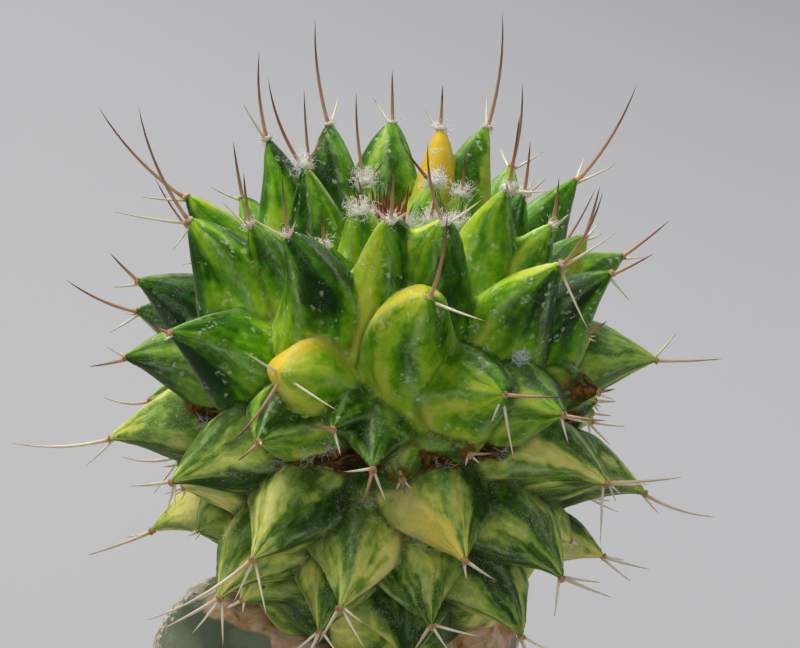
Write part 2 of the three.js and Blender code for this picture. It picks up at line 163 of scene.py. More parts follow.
def make_shells(name, points, **values):
    """A mesh of closed shells from grid points of shape (shells, rings, sides, 3), with values on it."""
    shells, rings, sides = points.shape[:3]
    spread_values = {}
    for key, value in values.items():
        if np.ndim(value) == 4:
            spread_values[key] = closed(np.broadcast_to(value, points.shape))
        else:
            spread_values[key] = spread(value, points)
    faces = end_fans(shells, rings, sides)
    return make_mesh(name, closed(points), grid_faces(shells, rings, sides), faces, **spread_values)


# %% [markdown]
# Colours are written as a paint chart gives them, in sRGB hex. Blender mixes light in linear numbers, so one
# function turns them. One more adds a node, sets its inputs and links what feeds it.

# %% Colours and materials
def linear(code):
    """A colour in linear numbers from its sRGB hex: each channel's power of 2.4, with a straight foot."""
    channels = np.array([int(code[i : i + 2], 16) for i in (1, 3, 5)]) / 255
    curved = np.where(channels <= 0.04045, channels / 12.92, ((channels + 0.055) / 1.055) ** 2.4)
    return (*curved.tolist(), 1.0)


def new_material(name):
    """An empty material with its shader: returns the node tree and the shader node."""
    material = bpy.data.materials.new(name)
    material.use_nodes = True
    return material, material.node_tree, material.node_tree.nodes["Principled BSDF"]


def add(tree, kind, settings=None, **inputs):
    """Adds a node, sets its properties, and sets or links its inputs. An input is named by its socket, with _
    for a space, or by _ and its number, and is linked where the value is another node's output."""
    node = tree.nodes.new(kind)
    for key, value in (settings or {}).items():
        setattr(node, key, value)
    for key, value in inputs.items():
        socket = node.inputs[int(key[1:])] if key[1:].isdigit() else node.inputs[key.replace("_", " ")]
        if isinstance(value, bpy.types.NodeSocket):
            tree.links.new(value, socket)
        else:
            socket.default_value = value
    return node


def ramp(tree, factor, stops, interpolation="LINEAR"):
    """A colour ramp's output: stops are pairs of place and hex colour."""
    node = add(tree, "ShaderNodeValToRGB", Fac=factor)
    node.color_ramp.interpolation = interpolation
    while len(node.color_ramp.elements) < len(stops):
        node.color_ramp.elements.new(0.5)
    for element, (place, code) in zip(node.color_ramp.elements, sorted(stops)):
        element.position = place
        element.color = linear(code)
    return node.outputs["Color"]


def mix(tree, factor, first, second, blend="MIX"):
    """The output of a colour mix: first where factor is 0, second where it is 1."""
    settings = {"data_type": "RGBA", "blend_type": blend}
    node = add(tree, "ShaderNodeMix", settings, _0=factor, _6=first, _7=second)
    return node.outputs[2]


def sums(tree, operation, *values):
    """The output of a chain of one arithmetic operation over the values."""
    result = values[0]
    for value in values[1:]:
        result = add(tree, "ShaderNodeMath", {"operation": operation}, _0=result, _1=value).outputs[0]
    return result


def between(tree, value, low, high, to_low=0.0, to_high=1.0):
    """A value carried smoothly from the range low..high to to_low..to_high, and held at its ends."""
    settings = {"interpolation_type": "SMOOTHSTEP"}
    node = add(tree, "ShaderNodeMapRange", settings, _0=value, _1=low, _2=high, _3=to_low, _4=to_high)
    return node.outputs[0]


def attribute(tree, name, output="Fac"):
    """The output of a mesh attribute."""
    return add(tree, "ShaderNodeAttribute", {"attribute_name": name}).outputs[output]


def per_mm(size):
    """The scale of a pattern on Object coordinates, in metres, whose cells are so many mm across."""
    return 1000.0 / size


def noise(tree, vector, size, detail=3.0, roughness=0.5, distortion=0.0, output="Fac"):
    """A noise whose lumps are size mm across on Object coordinates."""
    values = {"Vector": vector, "Scale": per_mm(size), "Detail": detail}
    node = add(tree, "ShaderNodeTexNoise", **values, Roughness=roughness, Distortion=distortion)
    return node.outputs[output]


def bump(tree, height, depth, normal=None):
    """A bump of so many mm from a height that runs from 0 to 1, over the given normal."""
    node = add(tree, "ShaderNodeBump", Height=height, Distance=depth * MM, Strength=1.0)
    if normal is not None:
        tree.links.new(normal, node.inputs["Normal"])
    return node.outputs["Normal"]


# %% [markdown]
# The plant was photographed in soft light before a plain pale grey. The floor runs up far behind the pot in
# one curve, so no edge shows, and leaves room for a look at the plant's back. A large lamp overhead and to
# the left gives the pale tops of the tubercles, a second one behind lights the spines' edges, a weak one in
# front keeps the shadows open, and a small one lights only what lies behind, which is brighter at the left.

# %% Floor, backdrop and lights
STAGE = {"front": -1500.0, "bend": 1000.0, "radius": 300.0, "height": 1000.0, "half_width": 1500.0}


def sweep_profile():
    """The floor's side view: straight along the floor, a quarter circle up, then straight up."""
    turn = np.linspace(0, np.pi / 2, 24)
    arc_y = STAGE["bend"] + STAGE["radius"] * np.sin(turn)
    arc_z = STAGE["radius"] * (1 - np.cos(turn))
    y = np.concatenate([np.linspace(STAGE["front"], STAGE["bend"], 12)[:-1], arc_y, [arc_y[-1]]])
    z = np.concatenate([np.zeros(11), arc_z, [STAGE["height"]]])
    return y, z


sweep_y, sweep_z = sweep_profile()
sweep_x = np.array([-STAGE["half_width"], STAGE["half_width"]])
sweep = np.zeros((len(sweep_y), 2, 3))
sweep[:, :, 0] = sweep_x
sweep[:, :, 1] = sweep_y[:, None]
sweep[:, :, 2] = sweep_z[:, None]
rows = np.arange(len(sweep_y) - 1) * 2
floor = make_mesh("floor", sweep.reshape(-1, 3), np.stack([rows, rows + 1, rows + 3, rows + 2], axis=-1))

# Matte painted board: even and without gloss
board, tree, shader = new_material("painted_board")
shader.inputs["Base Color"].default_value = linear("#a8a8aa")
shader.inputs["Roughness"].default_value = 0.9
shader.inputs["Specular IOR Level"].default_value = 0.2
floor.data.materials.append(board)

# Lamps: where each stands in mm, its size in mm, its power in watts and its colour
LAMPS = {
    "overhead": ((-240.0, 140.0, 640.0), 420.0, 4.2, "#fffdf8"),
    "rear": ((320.0, 330.0, 420.0), 300.0, 1.0, "#f6f9ff"),
    "front": ((60.0, -620.0, 300.0), 500.0, 1.2, "#ffffff"),
    "backdrop": ((-230.0, 700.0, 460.0), 200.0, 1.95, "#ffffff"),
}
AIM = {"backdrop": (80.0, 600.0, 20.0)}
for name, (place, size, power, colour) in LAMPS.items():
    lamp_data = bpy.data.lights.new(name, "AREA")
    lamp_data.size = size * MM
    lamp_data.energy = power
    lamp_data.color = linear(colour)[:3]
    lamp = bpy.data.objects.new(name, lamp_data)
    lamp.location = Vector(place) * MM
    toward = Vector(AIM.get(name, (0.0, 0.0, 120.0))) * MM - lamp.location
    lamp.rotation_euler = toward.to_track_quat("-Z", "Y").to_euler()
    bpy.context.scene.collection.objects.link(lamp)

ROOM_LIGHT = {"colour": "#dfe3e8", "strength": 0.19}
world = bpy.data.worlds.new("room")
world.use_nodes = True
background = world.node_tree.nodes["Background"]
background.inputs["Color"].default_value = linear(ROOM_LIGHT["colour"])
background.inputs["Strength"].default_value = ROOM_LIGHT["strength"]
bpy.context.scene.world = world

# %% [markdown]
# The pot is plain clay, thrown or pressed and fired without a glaze. The photograph doesn't show it. Its side
# view is turned about the upright axis: a foot, a slightly flaring wall, a collar and a rim whose edges the
# potter's sponge rounded. Faint rings from turning run round the wall.

# %% Pot
POT = {
    "height": 62.0, "foot": 25.0, "collar": 36.0, "collar_height": 10.0, "step": 1.8,
    "wall": 4.0, "floor": 4.5, "edge": 1.2, "drain": 2.2, "drain_ring": 11.0, "drains": 3, "grooves": 0.05,
}
CLEARANCE = 0.3
# The turning grooves leave the floor's middle plain, so far out from the axis
PLAIN_MIDDLE = 6.0


def wall_radius(z):
    """The pot's inner radius at a height: straight from the floor's edge to the rim."""
    rise = (z - POT["floor"]) / (POT["height"] - POT["floor"])
    low = POT["foot"] - POT["wall"]
    return low + rise * (POT["collar"] - POT["wall"] - low)


def rounded(corners, radii, steps=5):
    """A side view through corners, each rounded by an arc-like curve: the corner is the middle point of a
    quadratic curve that starts and ends its radius away along the two edges."""
    corners = np.array(corners, float)
    t = np.linspace(0, 1, steps)[:, None]
    path = [corners[:1]]
    for before, corner, after, radius in zip(corners[:-2], corners[1:-1], corners[2:], radii):
        start = corner + (before - corner) * min(radius / np.linalg.norm(before - corner), 0.45)
        end = corner + (after - corner) * min(radius / np.linalg.norm(after - corner), 0.45)
        path.append(start * (1 - t) ** 2 + 2 * corner * t * (1 - t) + end * t**2)
    path.append(corners[-1:])
    return np.concatenate(path)


def evenly(path, longest):
    """A path with points added on its long straight stretches, so that no step is over the given length."""
    parts = []
    for a, b in zip(path[:-1], path[1:]):
        count = max(1, int(np.ceil(np.linalg.norm(b - a) / longest)))
        parts.append(a + (b - a) * (np.arange(count) / count)[:, None])
    return np.concatenate(parts + [path[-1:]])


def turned(name, path, sides, wobble=0.0):
    """A closed body from a side view of (radius, height) pairs that starts and ends on the axis. wobble is
    the depth in mm of the grooves that turning leaves, a sum of two waves up the wall."""
    radius, height = path[1:-1].T
    angle = 2 * np.pi * np.arange(sides) / sides
    waves = np.sin(height * 2.1) + 0.6 * np.sin(height * 5.3 + 1.0) - 1.6
    r = (radius + wobble * waves * (radius > PLAIN_MIDDLE))[:, None] + 0 * angle
    points = np.stack([r * np.cos(angle), r * np.sin(angle), height[:, None] + 0 * angle], axis=-1)
    return make_shells(name, points[None])


side = wall_radius(POT["height"] - POT["collar_height"]) + POT["wall"] - POT["step"] * 0.4
collar_foot = POT["height"] - POT["collar_height"]
pot_corners = [
    (0, 0), (POT["foot"], 0), (side, collar_foot), (POT["collar"] - 0.4, collar_foot + 0.2),
    (POT["collar"], POT["height"]), (wall_radius(POT["height"]), POT["height"]),
    (wall_radius(POT["floor"]), POT["floor"]), (0, POT["floor"]),
]
pot_radii = [POT["edge"], 0.5, POT["edge"], POT["edge"], POT["edge"] * 0.8, 1.5]
pot_path = evenly(rounded(pot_corners, pot_radii), 1.4)
pot = turned("clay_pot", pot_path, 128, wobble=POT["grooves"])

# The drain holes are cut with three rods, which are then thrown away
for i in range(POT["drains"]):
    azimuth = 2 * np.pi * i / POT["drains"]
    above_floor = POT["floor"] + 1
    hole_corners = [(0, -1), (0.01, -1), (POT["drain"], -1), (POT["drain"], above_floor), (0, above_floor)]
    hole_path = np.array(hole_corners)
    rod = turned(f"rod_{i}", hole_path, 32)
    middle = np.array([np.cos(azimuth), np.sin(azimuth), 0]) * POT["drain_ring"] * MM
    rod.data.transform(Matrix.Translation(middle))
    cut = pot.modifiers.new(rod.name, "BOOLEAN")
    cut.operation = "DIFFERENCE"
    cut.object = rod
    bpy.context.view_layer.objects.active = pot
    bpy.ops.object.modifier_apply(modifier=cut.name)
    bpy.data.objects.remove(rod)


# Terracotta: iron-rich clay fired without a glaze, so it is matte and open-pored. Watering leaves a pale
# bloom of lime where it stays damp, strongest under the collar and near the foot.
def terracotta():
    material, tree, shader = new_material("terracotta")
    place = add(tree, "ShaderNodeTexCoord").outputs["Object"]
    height = add(tree, "ShaderNodeSeparateXYZ", Vector=place).outputs["Z"]
    cloud = noise(tree, place, 14.0, detail=5.0, roughness=0.6)
    grain = noise(tree, place, 0.7, detail=2.0)
    clay = ramp(tree, cloud, [(0.3, "#96512f"), (0.5, "#b3663f"), (0.7, "#c47a50")])
    speckled = mix(tree, between(tree, grain, 0.62, 0.72, 0, 0.5), clay, linear("#7d4127"))
    low = between(tree, height, 0.022, 0.002)
    high = between(tree, height, 0.034, 0.052)
    damp = sums(tree, "MAXIMUM", low, high)
    patch = noise(tree, place, 7.0, detail=6.0, roughness=0.7)
    bloom = sums(tree, "MULTIPLY", between(tree, patch, 0.48, 0.72), sums(tree, "ADD", damp, 0.25))
    lime = mix(tree, sums(tree, "MULTIPLY", bloom, 0.65), speckled, linear("#d8cdbd"))
    tree.links.new(lime, shader.inputs["Base Color"])
    tree.links.new(between(tree, bloom, 0, 1, 0.82, 0.95), shader.inputs["Roughness"])
    first = bump(tree, grain, 0.08)
    tree.links.new(bump(tree, patch, 0.12, first), shader.inputs["Normal"])
    shader.inputs["Specular IOR Level"].default_value = 0.3
    return material


pot.data.materials.clear()
pot.data.materials.append(terracotta())

# %% [markdown]
# The potting mix fills the pot and shows only through the drain holes, so the CAD solid stays and gets a
# finish of its own: dark peat with bark and pale perlite.


# %% Potting mix
# Peat and bark sieved to a few millimetres: crumbly, without gloss, nearly black where damp
def potting_mix():
    material, tree, shader = new_material("potting_mix")
    place = add(tree, "ShaderNodeTexCoord").outputs["Object"]
    crumbs = add(tree, "ShaderNodeTexVoronoi", Vector=place, Scale=per_mm(2.0))
    tone = noise(tree, place, 1.2, detail=4.0)
    peat = ramp(tree, tone, [(0.3, "#1d140d"), (0.55, "#3a2a1d"), (0.75, "#5c4630")])
    shade = add(tree, "ShaderNodeSeparateColor", Color=crumbs.outputs["Color"]).outputs["Red"]
    perlite = between(tree, shade, 0.93, 0.95)
    tree.links.new(mix(tree, perlite, peat, linear("#cfc8ba")), shader.inputs["Base Color"])
    tree.links.new(bump(tree, crumbs.outputs["Distance"], 0.8), shader.inputs["Normal"])
    shader.inputs["Roughness"].default_value = 0.95
    return material


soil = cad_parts["soil"]
soil.data.materials.clear()
soil.data.materials.append(potting_mix())

# %% [markdown]
# A rootstock for grafting is a three-ribbed stem, cut across its top. Each rib has a corky pale edge and an
# areole in its dip. The photograph shows only the sloping shoulder of one rib, grey-green with a pale edge,
# and the healed tan cut under the head. The stem's outline is one formula: a valley radius plus a rib's reach
# times a power of a cosine that peaks three times round.

# %% Rootstock
STOCK = {
    "bottom": 34.0, "top": 99.0, "valley": 10.0, "rib": 22.0, "rib_at_rim": 18.5, "widest": 91.0,
    "azimuth": 165.0, "sharpness": 1.7, "graft": 12.0, "shoulder": 7.0, "lip": 1.0, "notch": 22.0,
    "notch_depth": 0.06,
}
# Callus on the cut: how far out it reaches and over how many mm it fades, how far it runs down the pared
# sides and over how many mm it ends there, and how high, how far out and how wide it rises round the graft
CALLUS = {
    "reach": 16.4, "fade": 1.6, "down": 11.0, "over": 1.5, "end": 2.5, "roll": 1.3, "roll_at": 13.4,
    "roll_width": 0.9,
}


def rib_share(azimuth):
    """0 in the middle of a valley and 1 on a rib's edge: half of one plus a cosine that peaks three times."""
    return (1 + np.cos(3 * (azimuth - np.radians(STOCK["azimuth"])))) / 2


def rib_reach(z):
    """How far out the ribs stand at a height: they dip between areoles by a cosine."""
    wave = np.cos(2 * np.pi * (z - STOCK["widest"]) / STOCK["notch"])
    return STOCK["rib"] * (1 - STOCK["notch_depth"] * (0.5 - 0.5 * wave))


def stock_radius(azimuth, reach):
    """The stem's radius: the valley's, and the rib's share of the rest to the given power."""
    return STOCK["valley"] + (reach - STOCK["valley"]) * rib_share(azimuth) ** STOCK["sharpness"]


def along_first(azimuth):
    """1 in the direction of the first rib, 0 across it and -1 opposite: a cosine."""
    return np.cos(azimuth - np.radians(STOCK["azimuth"]))


def bevel(azimuth, radius):
    """How far a rib's end was pared down outside the graft. The first rib was left standing."""
    return np.maximum(0, radius - STOCK["graft"]) * np.where(along_first(azimuth) > 0.5, -0.1, 0.5)


def rootstock_surface(sides=180):
    """The stem's side in rings up to the shoulder, which curves in to the rim by the square of the way up.
    Then the cut in rings that shrink inwards, where callus rises round the graft as a bell curve."""
    azimuth = 2 * np.pi * np.arange(sides) / sides + np.radians(STOCK["azimuth"])
    shoulder = STOCK["top"] - STOCK["shoulder"]
    levels = np.linspace(STOCK["bottom"], shoulder, 64)[:, None]
    skin_radius = stock_radius(azimuth, rib_reach(levels))
    wrinkle = 0.12 * np.sin(levels * 1.7 + 2 * np.sin(azimuth * 5)) * rib_share(azimuth)
    skin_z = levels + 0 * azimuth
    rim_radius = stock_radius(azimuth, STOCK["rib_at_rim"])
    rim_z = STOCK["top"] - bevel(azimuth, rim_radius) - STOCK["lip"]
    rise = np.linspace(0, 1, 8)[1:, None]
    wall_radius_up = skin_radius[-1] + (rim_radius - skin_radius[-1]) * rise**2
    wall_z = shoulder + (rim_z - shoulder) * rise
    inward = np.linspace(0, 1, 26)[1:, None] ** 0.8
    edge = np.clip(inward / 0.12, 0, 1)
    past = np.clip((inward - 0.12) / 0.55, 0, 1)
    centre = np.clip((inward - 0.67) / 0.33, 0, 1)
    rim_inside = rim_radius - STOCK["lip"]
    inner = np.minimum(rim_inside, STOCK["graft"])
    cut_radius = rim_radius - STOCK["lip"] * edge**2 - past * (rim_inside - inner)
    cut_radius = cut_radius * (1 - 0.9 * centre)
    lip_rise = STOCK["lip"] * 0.9
    cut_z = rim_z + lip_rise * (1 - (1 - edge) ** 2) + past * (STOCK["top"] - rim_z - lip_rise)
    lumps = 0.5 + 0.5 * np.sin(azimuth * 7 + 1.3) * np.sin(azimuth * 4 + cut_radius)
    from_roll = (cut_radius - CALLUS["roll_at"]) / CALLUS["roll_width"]
    roll = CALLUS["roll"] * np.exp(-(from_roll**2)) * (0.6 + 0.5 * lumps)
    dimple = 0.18 * np.sin(cut_radius * 2.2 + 3 * np.sin(azimuth * 3)) * edge
    radius = np.concatenate([skin_radius + wrinkle, wall_radius_up, cut_radius])
    z = np.concatenate([skin_z, wall_z, cut_z + roll * (centre <= 0) + dimple * (centre <= 0)])
    points = np.stack([radius * np.cos(azimuth), radius * np.sin(azimuth), z], axis=-1)
    at_rim = np.clip(1 - (rim_radius - cut_radius - 2.2) / 1.2, 0, 1)
    share = rib_share(azimuth) * np.concatenate([1 + 0 * skin_z, 1 + 0 * wall_z, at_rim])
    callus = np.clip((CALLUS["reach"] - cut_radius) / CALLUS["fade"], 0, 1)
    pared = np.clip((0.75 - along_first(azimuth)) / 0.45, 0, 1)
    waves = 0.8 * np.sin(azimuth * 5) + 0.5 * np.sin(azimuth * 11 + 1)
    callus_foot = STOCK["top"] + CALLUS["over"] - CALLUS["down"] * pared * (2 - pared) + waves
    over_wall = np.clip((np.concatenate([skin_z, wall_z]) - callus_foot) / CALLUS["end"], 0, 1)
    cut = np.concatenate([over_wall, np.maximum(callus, np.clip(3 * pared, 0, 1))])
    return points[None], share[None], cut[None]


stem_points, stem_share, stem_cut = rootstock_surface()
stem = make_shells("stem", stem_points, rib=stem_share, cut=stem_cut)


# A stem's living skin under a waxy bloom: grey-green and satin. Age turns the ribs' edges to pale cork. The
# cut and the pared ends of two ribs have dried to a callus, pinkish where thin and brown where wettest.
def stem_skin():
    material, tree, shader = new_material("stem_skin")
    place = add(tree, "ShaderNodeTexCoord").outputs["Object"]
    rib = attribute(tree, "rib")
    cut = attribute(tree, "cut")
    cloud = noise(tree, place, 6.0, detail=5.0)
    fine = noise(tree, place, 0.6, detail=3.0)
    skin = ramp(tree, cloud, [(0.3, "#4f5d46"), (0.5, "#717d60"), (0.72, "#939b80")])
    coarse_wave = between(tree, cloud, 0.2, 0.8, -0.04, 0.04)
    ragged = sums(tree, "ADD", rib, between(tree, fine, 0.2, 0.8, -0.05, 0.05), coarse_wave)
    cork = between(tree, ragged, 0.945, 0.985)
    bark = ramp(tree, fine, [(0.3, "#a59b83"), (0.7, "#d9d2c0")])
    skin = mix(tree, cork, skin, bark)
    patch = noise(tree, place, 4.0, detail=6.0, roughness=0.65, distortion=0.5)
    callus = ramp(tree, patch, [(0.3, "#6e5228"), (0.42, "#a87c46"), (0.55, "#cfae90"), (0.8, "#e2cfbb")])
    tree.links.new(mix(tree, between(tree, cut, 0.3, 0.7), skin, callus), shader.inputs["Base Color"])
    rough = sums(tree, "MAXIMUM", cork, cut)
    tree.links.new(between(tree, rough, 0, 1, 0.55, 0.85), shader.inputs["Roughness"])
    soft = bump(tree, cloud, 0.15)
    tree.links.new(bump(tree, fine, 0.1, soft), shader.inputs["Normal"])
    return material


stem.data.materials.append(stem_skin())

# %% [markdown]
# Pebbles lie on the mix as a top dressing. The large ones stand where the CAD has them, in rings with a draw
# for each one's size, turn and height. Smaller ones and grit fill in between them, on a bed of fine grit.
# A pebble is a ball pulled to three different half sizes and dented by a few waves. Where it would enter the
# pot's wall or the stem, it is pressed flat against it.

# %% Gravel
SOIL_TOP = 54.0
GRAVEL = {"slab": 57.5, "gap": 6.5, "size": 3.9, "mound": 1.8, "small": 620, "small_size": 1.55}
bed_reach = float(wall_radius(SOIL_TOP)) - CLEARANCE


def large_pebbles():
    """Where the CAD has its pebbles: rows of number, azimuth and distance from the axis."""
    found = []
    k = 0
    for ring in range(int((bed_reach - 4) // GRAVEL["gap"]) + 1):
        radius = bed_reach - 2.6 - ring * GRAVEL["gap"]
        around = int(2 * np.pi * radius // GRAVEL["gap"])
        for i in range(around):
            k += 1
            azimuth = 2 * np.pi * (i + 0.5 * float(draw(k, 7))) / around
            if radius >= stock_radius(azimuth, STOCK["rib"]) - 1.5:
                found.append((k, azimuth, radius))
    return np.array(found).T


def stones(k, azimuth, radius, z, size, rings, sides):
    """Pebbles as grids of shape (pebbles, rings, sides, 3): a ball scaled to three half sizes by its draws,
    dented by three slow waves, turned and carried to its place."""
    k = k[:, None, None]
    lift = np.linspace(-1, 1, rings + 2)[1:-1][None, :, None] * np.pi / 2
    angle = (2 * np.pi * np.arange(sides) / sides)[None, None, :]
    level = np.cos(lift)
    ball = np.stack([level * np.cos(angle), level * np.sin(angle), np.sin(lift) + 0 * angle], axis=-1)
    wide_dent = np.sin(ball[..., 0] * 3 + 9 * draw(k, 21)) * np.cos(ball[..., 1] * 3.3 + 7 * draw(k, 22))
    narrow_dent = np.sin(ball[..., 2] * 5 + ball[..., 0] * 4 + 8 * draw(k, 23))
    dent = 1 + 0.09 * wide_dent + 0.05 * narrow_dent
    half = size[:, None, None] * (0.8 + 0.45 * draw(k, 1)) * 0.93 * dent
    x = ball[..., 0] * half * (1 + 0.3 * draw(k, 2))
    y = ball[..., 1] * half * (0.85 + 0.2 * draw(k, 3))
    up = ball[..., 2] * half * (0.62 + 0.25 * draw(k, 4))
    turn = 2 * np.pi * draw(k, 5)
    x, y = x * np.cos(turn) - y * np.sin(turn), x * np.sin(turn) + y * np.cos(turn)
    tilt = 0.7 * (draw(k, 6) - 0.5)
    y, up = y * np.cos(tilt) - up * np.sin(tilt), y * np.sin(tilt) + up * np.cos(tilt)
    x = x + (radius * np.cos(azimuth))[:, None, None]
    y = y + (radius * np.sin(azimuth))[:, None, None]
    return np.stack([x, y, up + z[:, None, None]], axis=-1)


def pressed(points, gap=0.15):
    """Points moved out of the stem and in from the wall of the pot, along the radius."""
    azimuth = np.arctan2(points[..., 1], points[..., 0])
    radius = np.hypot(points[..., 0], points[..., 1])
    near = stock_radius(azimuth, STOCK["rib"]) + gap
    held = np.clip(radius, near, bed_reach - gap)
    share = held / np.maximum(radius, 1e-6)
    return points * np.stack([share, share, np.ones_like(share)], axis=-1)


big_k, big_azimuth, big_radius = large_pebbles()
mound = GRAVEL["mound"] * (1 - big_radius / bed_reach)
big_z = GRAVEL["slab"] + mound + 1.2 * draw(big_k, 8)
big = pressed(stones(big_k, big_azimuth, big_radius, big_z, np.full(len(big_k), GRAVEL["size"]), 9, 14))
pebbles = make_shells("pebbles", big, lot=draw(big_k, 31)[:, None, None], tint=draw(big_k, 32)[:, None, None])

small_k = 1000.0 + np.arange(GRAVEL["small"])
small_azimuth = small_k * 2.399963
small_radius = bed_reach * np.sqrt(0.12 + 0.88 * draw(small_k, 33))
small_z = GRAVEL["slab"] + GRAVEL["mound"] * (1 - small_radius / bed_reach) + 0.4 + 2.2 * draw(small_k, 34)
small_size = GRAVEL["small_size"] * (0.55 + 0.75 * draw(small_k, 35))
small_points = stones(small_k, small_azimuth, small_radius, small_z, small_size, 4, 8)
clear = small_radius > stock_radius(small_azimuth, STOCK["rib"]) - 0.5
small_k, small_points = small_k[clear], pressed(small_points[clear])
small_values = {"lot": draw(small_k, 31)[:, None, None], "tint": draw(small_k, 32)[:, None, None]}
chips = make_shells("small_pebbles", small_points, **small_values)


def bed(sides=120):
    """The grit bed: a ring whose section runs inwards over its bumpy top and back along its flat foot."""
    azimuth = 2 * np.pi * np.arange(sides) / sides
    near = stock_radius(azimuth, STOCK["rib"]) + CLEARANCE
    top_rows, foot_rows = 28, 10
    across = np.concatenate([np.linspace(1, 0, top_rows), np.linspace(0, 1, foot_rows)])[:, None]
    top = (np.arange(top_rows + foot_rows) < top_rows)[:, None]
    radius = near + (bed_reach - near) * across
    grit = 0.35 * np.sin(radius * 3.1 + 4 * np.sin(azimuth * 9)) * np.sin(azimuth * 31)
    z = np.where(top, GRAVEL["slab"] + 0.6 + GRAVEL["mound"] * (1 - radius / bed_reach) + grit, SOIL_TOP)
    return np.stack([radius * np.cos(azimuth), radius * np.sin(azimuth), z], axis=-1)


bed_points = bed()
bed_faces = grid_faces(1, bed_points.shape[0], bed_points.shape[1], loop=True)[:, ::-1]
grit = make_mesh("grit_bed", bed_points.reshape(-1, 3), bed_faces)


# River pebbles worn smooth by water: matte when dry, each of its own rock. Most are tan or grey-green, some
# ochre or lilac grey, and a few carry darker veins.
def river_stone():
    material, tree, shader = new_material("river_stone")
    place = add(tree, "ShaderNodeTexCoord").outputs["Object"]
    rocks = [
        (0.0, "#8d7b66"), (0.16, "#a58d70"), (0.32, "#77786a"), (0.46, "#6a6f66"),
        (0.58, "#b49a79"), (0.7, "#8a7f86"), (0.82, "#9c6f43"), (0.92, "#c2b59d"),
    ]
    rock = ramp(tree, attribute(tree, "lot"), rocks, "CONSTANT")
    tint = between(tree, attribute(tree, "tint"), 0, 1, 0.72, 1.18)
    shade = add(tree, "ShaderNodeCombineColor", Red=tint, Green=tint, Blue=tint).outputs[0]
    rock = mix(tree, 1.0, rock, shade, "MULTIPLY")
    cloud = noise(tree, place, 2.2, detail=6.0, roughness=0.65)
    rock = mix(tree, between(tree, cloud, 0.45, 0.75, 0, 0.55), rock, linear("#d6cab4"))
    grain = noise(tree, place, 0.35, detail=2.0)
    rock = mix(tree, between(tree, grain, 0.6, 0.7, 0, 0.5), rock, linear("#4d443a"))
    tree.links.new(rock, shader.inputs["Base Color"])
    tree.links.new(between(tree, cloud, 0.2, 0.8, 0.6, 0.85), shader.inputs["Roughness"])
    first = bump(tree, grain, 0.05)
    tree.links.new(bump(tree, cloud, 0.2, first), shader.inputs["Normal"])
    return material


# Crushed grit under the pebbles, in shadow: grains of about half a millimetre, sandy brown
def crushed_grit():
    material, tree, shader = new_material("crushed_grit")
    place = add(tree, "ShaderNodeTexCoord").outputs["Object"]
    grains = add(tree, "ShaderNodeTexVoronoi", Vector=place, Scale=per_mm(0.7))
    shade = add(tree, "ShaderNodeSeparateColor", Color=grains.outputs["Color"]).outputs["Red"]
    colour = ramp(tree, shade, [(0.0, "#4a3d2e"), (0.5, "#7a6850"), (1.0, "#a6967c")])
    tree.links.new(colour, shader.inputs["Base Color"])
    tree.links.new(bump(tree, grains.outputs["Distance"], 0.35), shader.inputs["Normal"])
    shader.inputs["Roughness"].default_value = 0.9
    return material


stone = river_stone()
pebbles.data.materials.append(stone)
chips.data.materials.append(stone)
grit.data.materials.append(crushed_grit())

# %% [markdown]
# The scion is a rounded body that bears its tubercles in crossing spirals: each stands 137.943 degrees round
# from the last one and a little lower. The photograph shows some of them pushed aside by the rest in growth,
# so those carry their own azimuth and distance down. Both lists repeat the part's source.

# %% Where the tubercles stand
SCION = {"x": 3.0, "y": 0.0, "z": 118.0, "lean": 0.05}
TURN = 137.943
FIRST_AZIMUTH = 239.7
TUBERCLES = 94
DOWN = [(0, 1), (8, 9.8), (16, 17.7), (28, 25.5), (42, 38.7), (60, 51.1), (92, 69.5)]
# Distance down, tip radius, tip height, root radius, root height, half width, half height
ROWS = [
    (0, 0, 22.6, 0, 20, 1.4, 1.4), (4, 4, 24, 2.6, 20, 2.3, 2.3), (8.6, 7.5, 27, 6, 19.4, 3.2, 3.1),
    (12.8, 11, 29.3, 9.2, 18.2, 3.8, 3.6), (18.9, 17, 28.8, 12.6, 16.8, 4.1, 3.9),
    (22.3, 20, 27.2, 14.2, 15.4, 4.7, 4.3), (27, 22.6, 23.3, 15.8, 13.4, 5, 4.6),
    (34, 25.8, 17, 17, 11.4, 5.2, 4.8), (40, 27.1, 11.2, 17.8, 9.4, 5.2, 4.8),
    (44, 27.8, 7.3, 18.2, 7.4, 5.2, 4.7), (49, 28.2, 2.3, 18.8, 3.2, 5.3, 4.7),
    (53.5, 28.1, -2.2, 18.9, -0.2, 5.4, 4.7),
    (58.5, 27.5, -7, 18.4, -4, 5.4, 4.6), (64.8, 24.8, -12.8, 16.6, -9.4, 5, 3.9),
    (70, 18.6, -17.4, 13.6, -14.4, 4.4, 3.2),
]
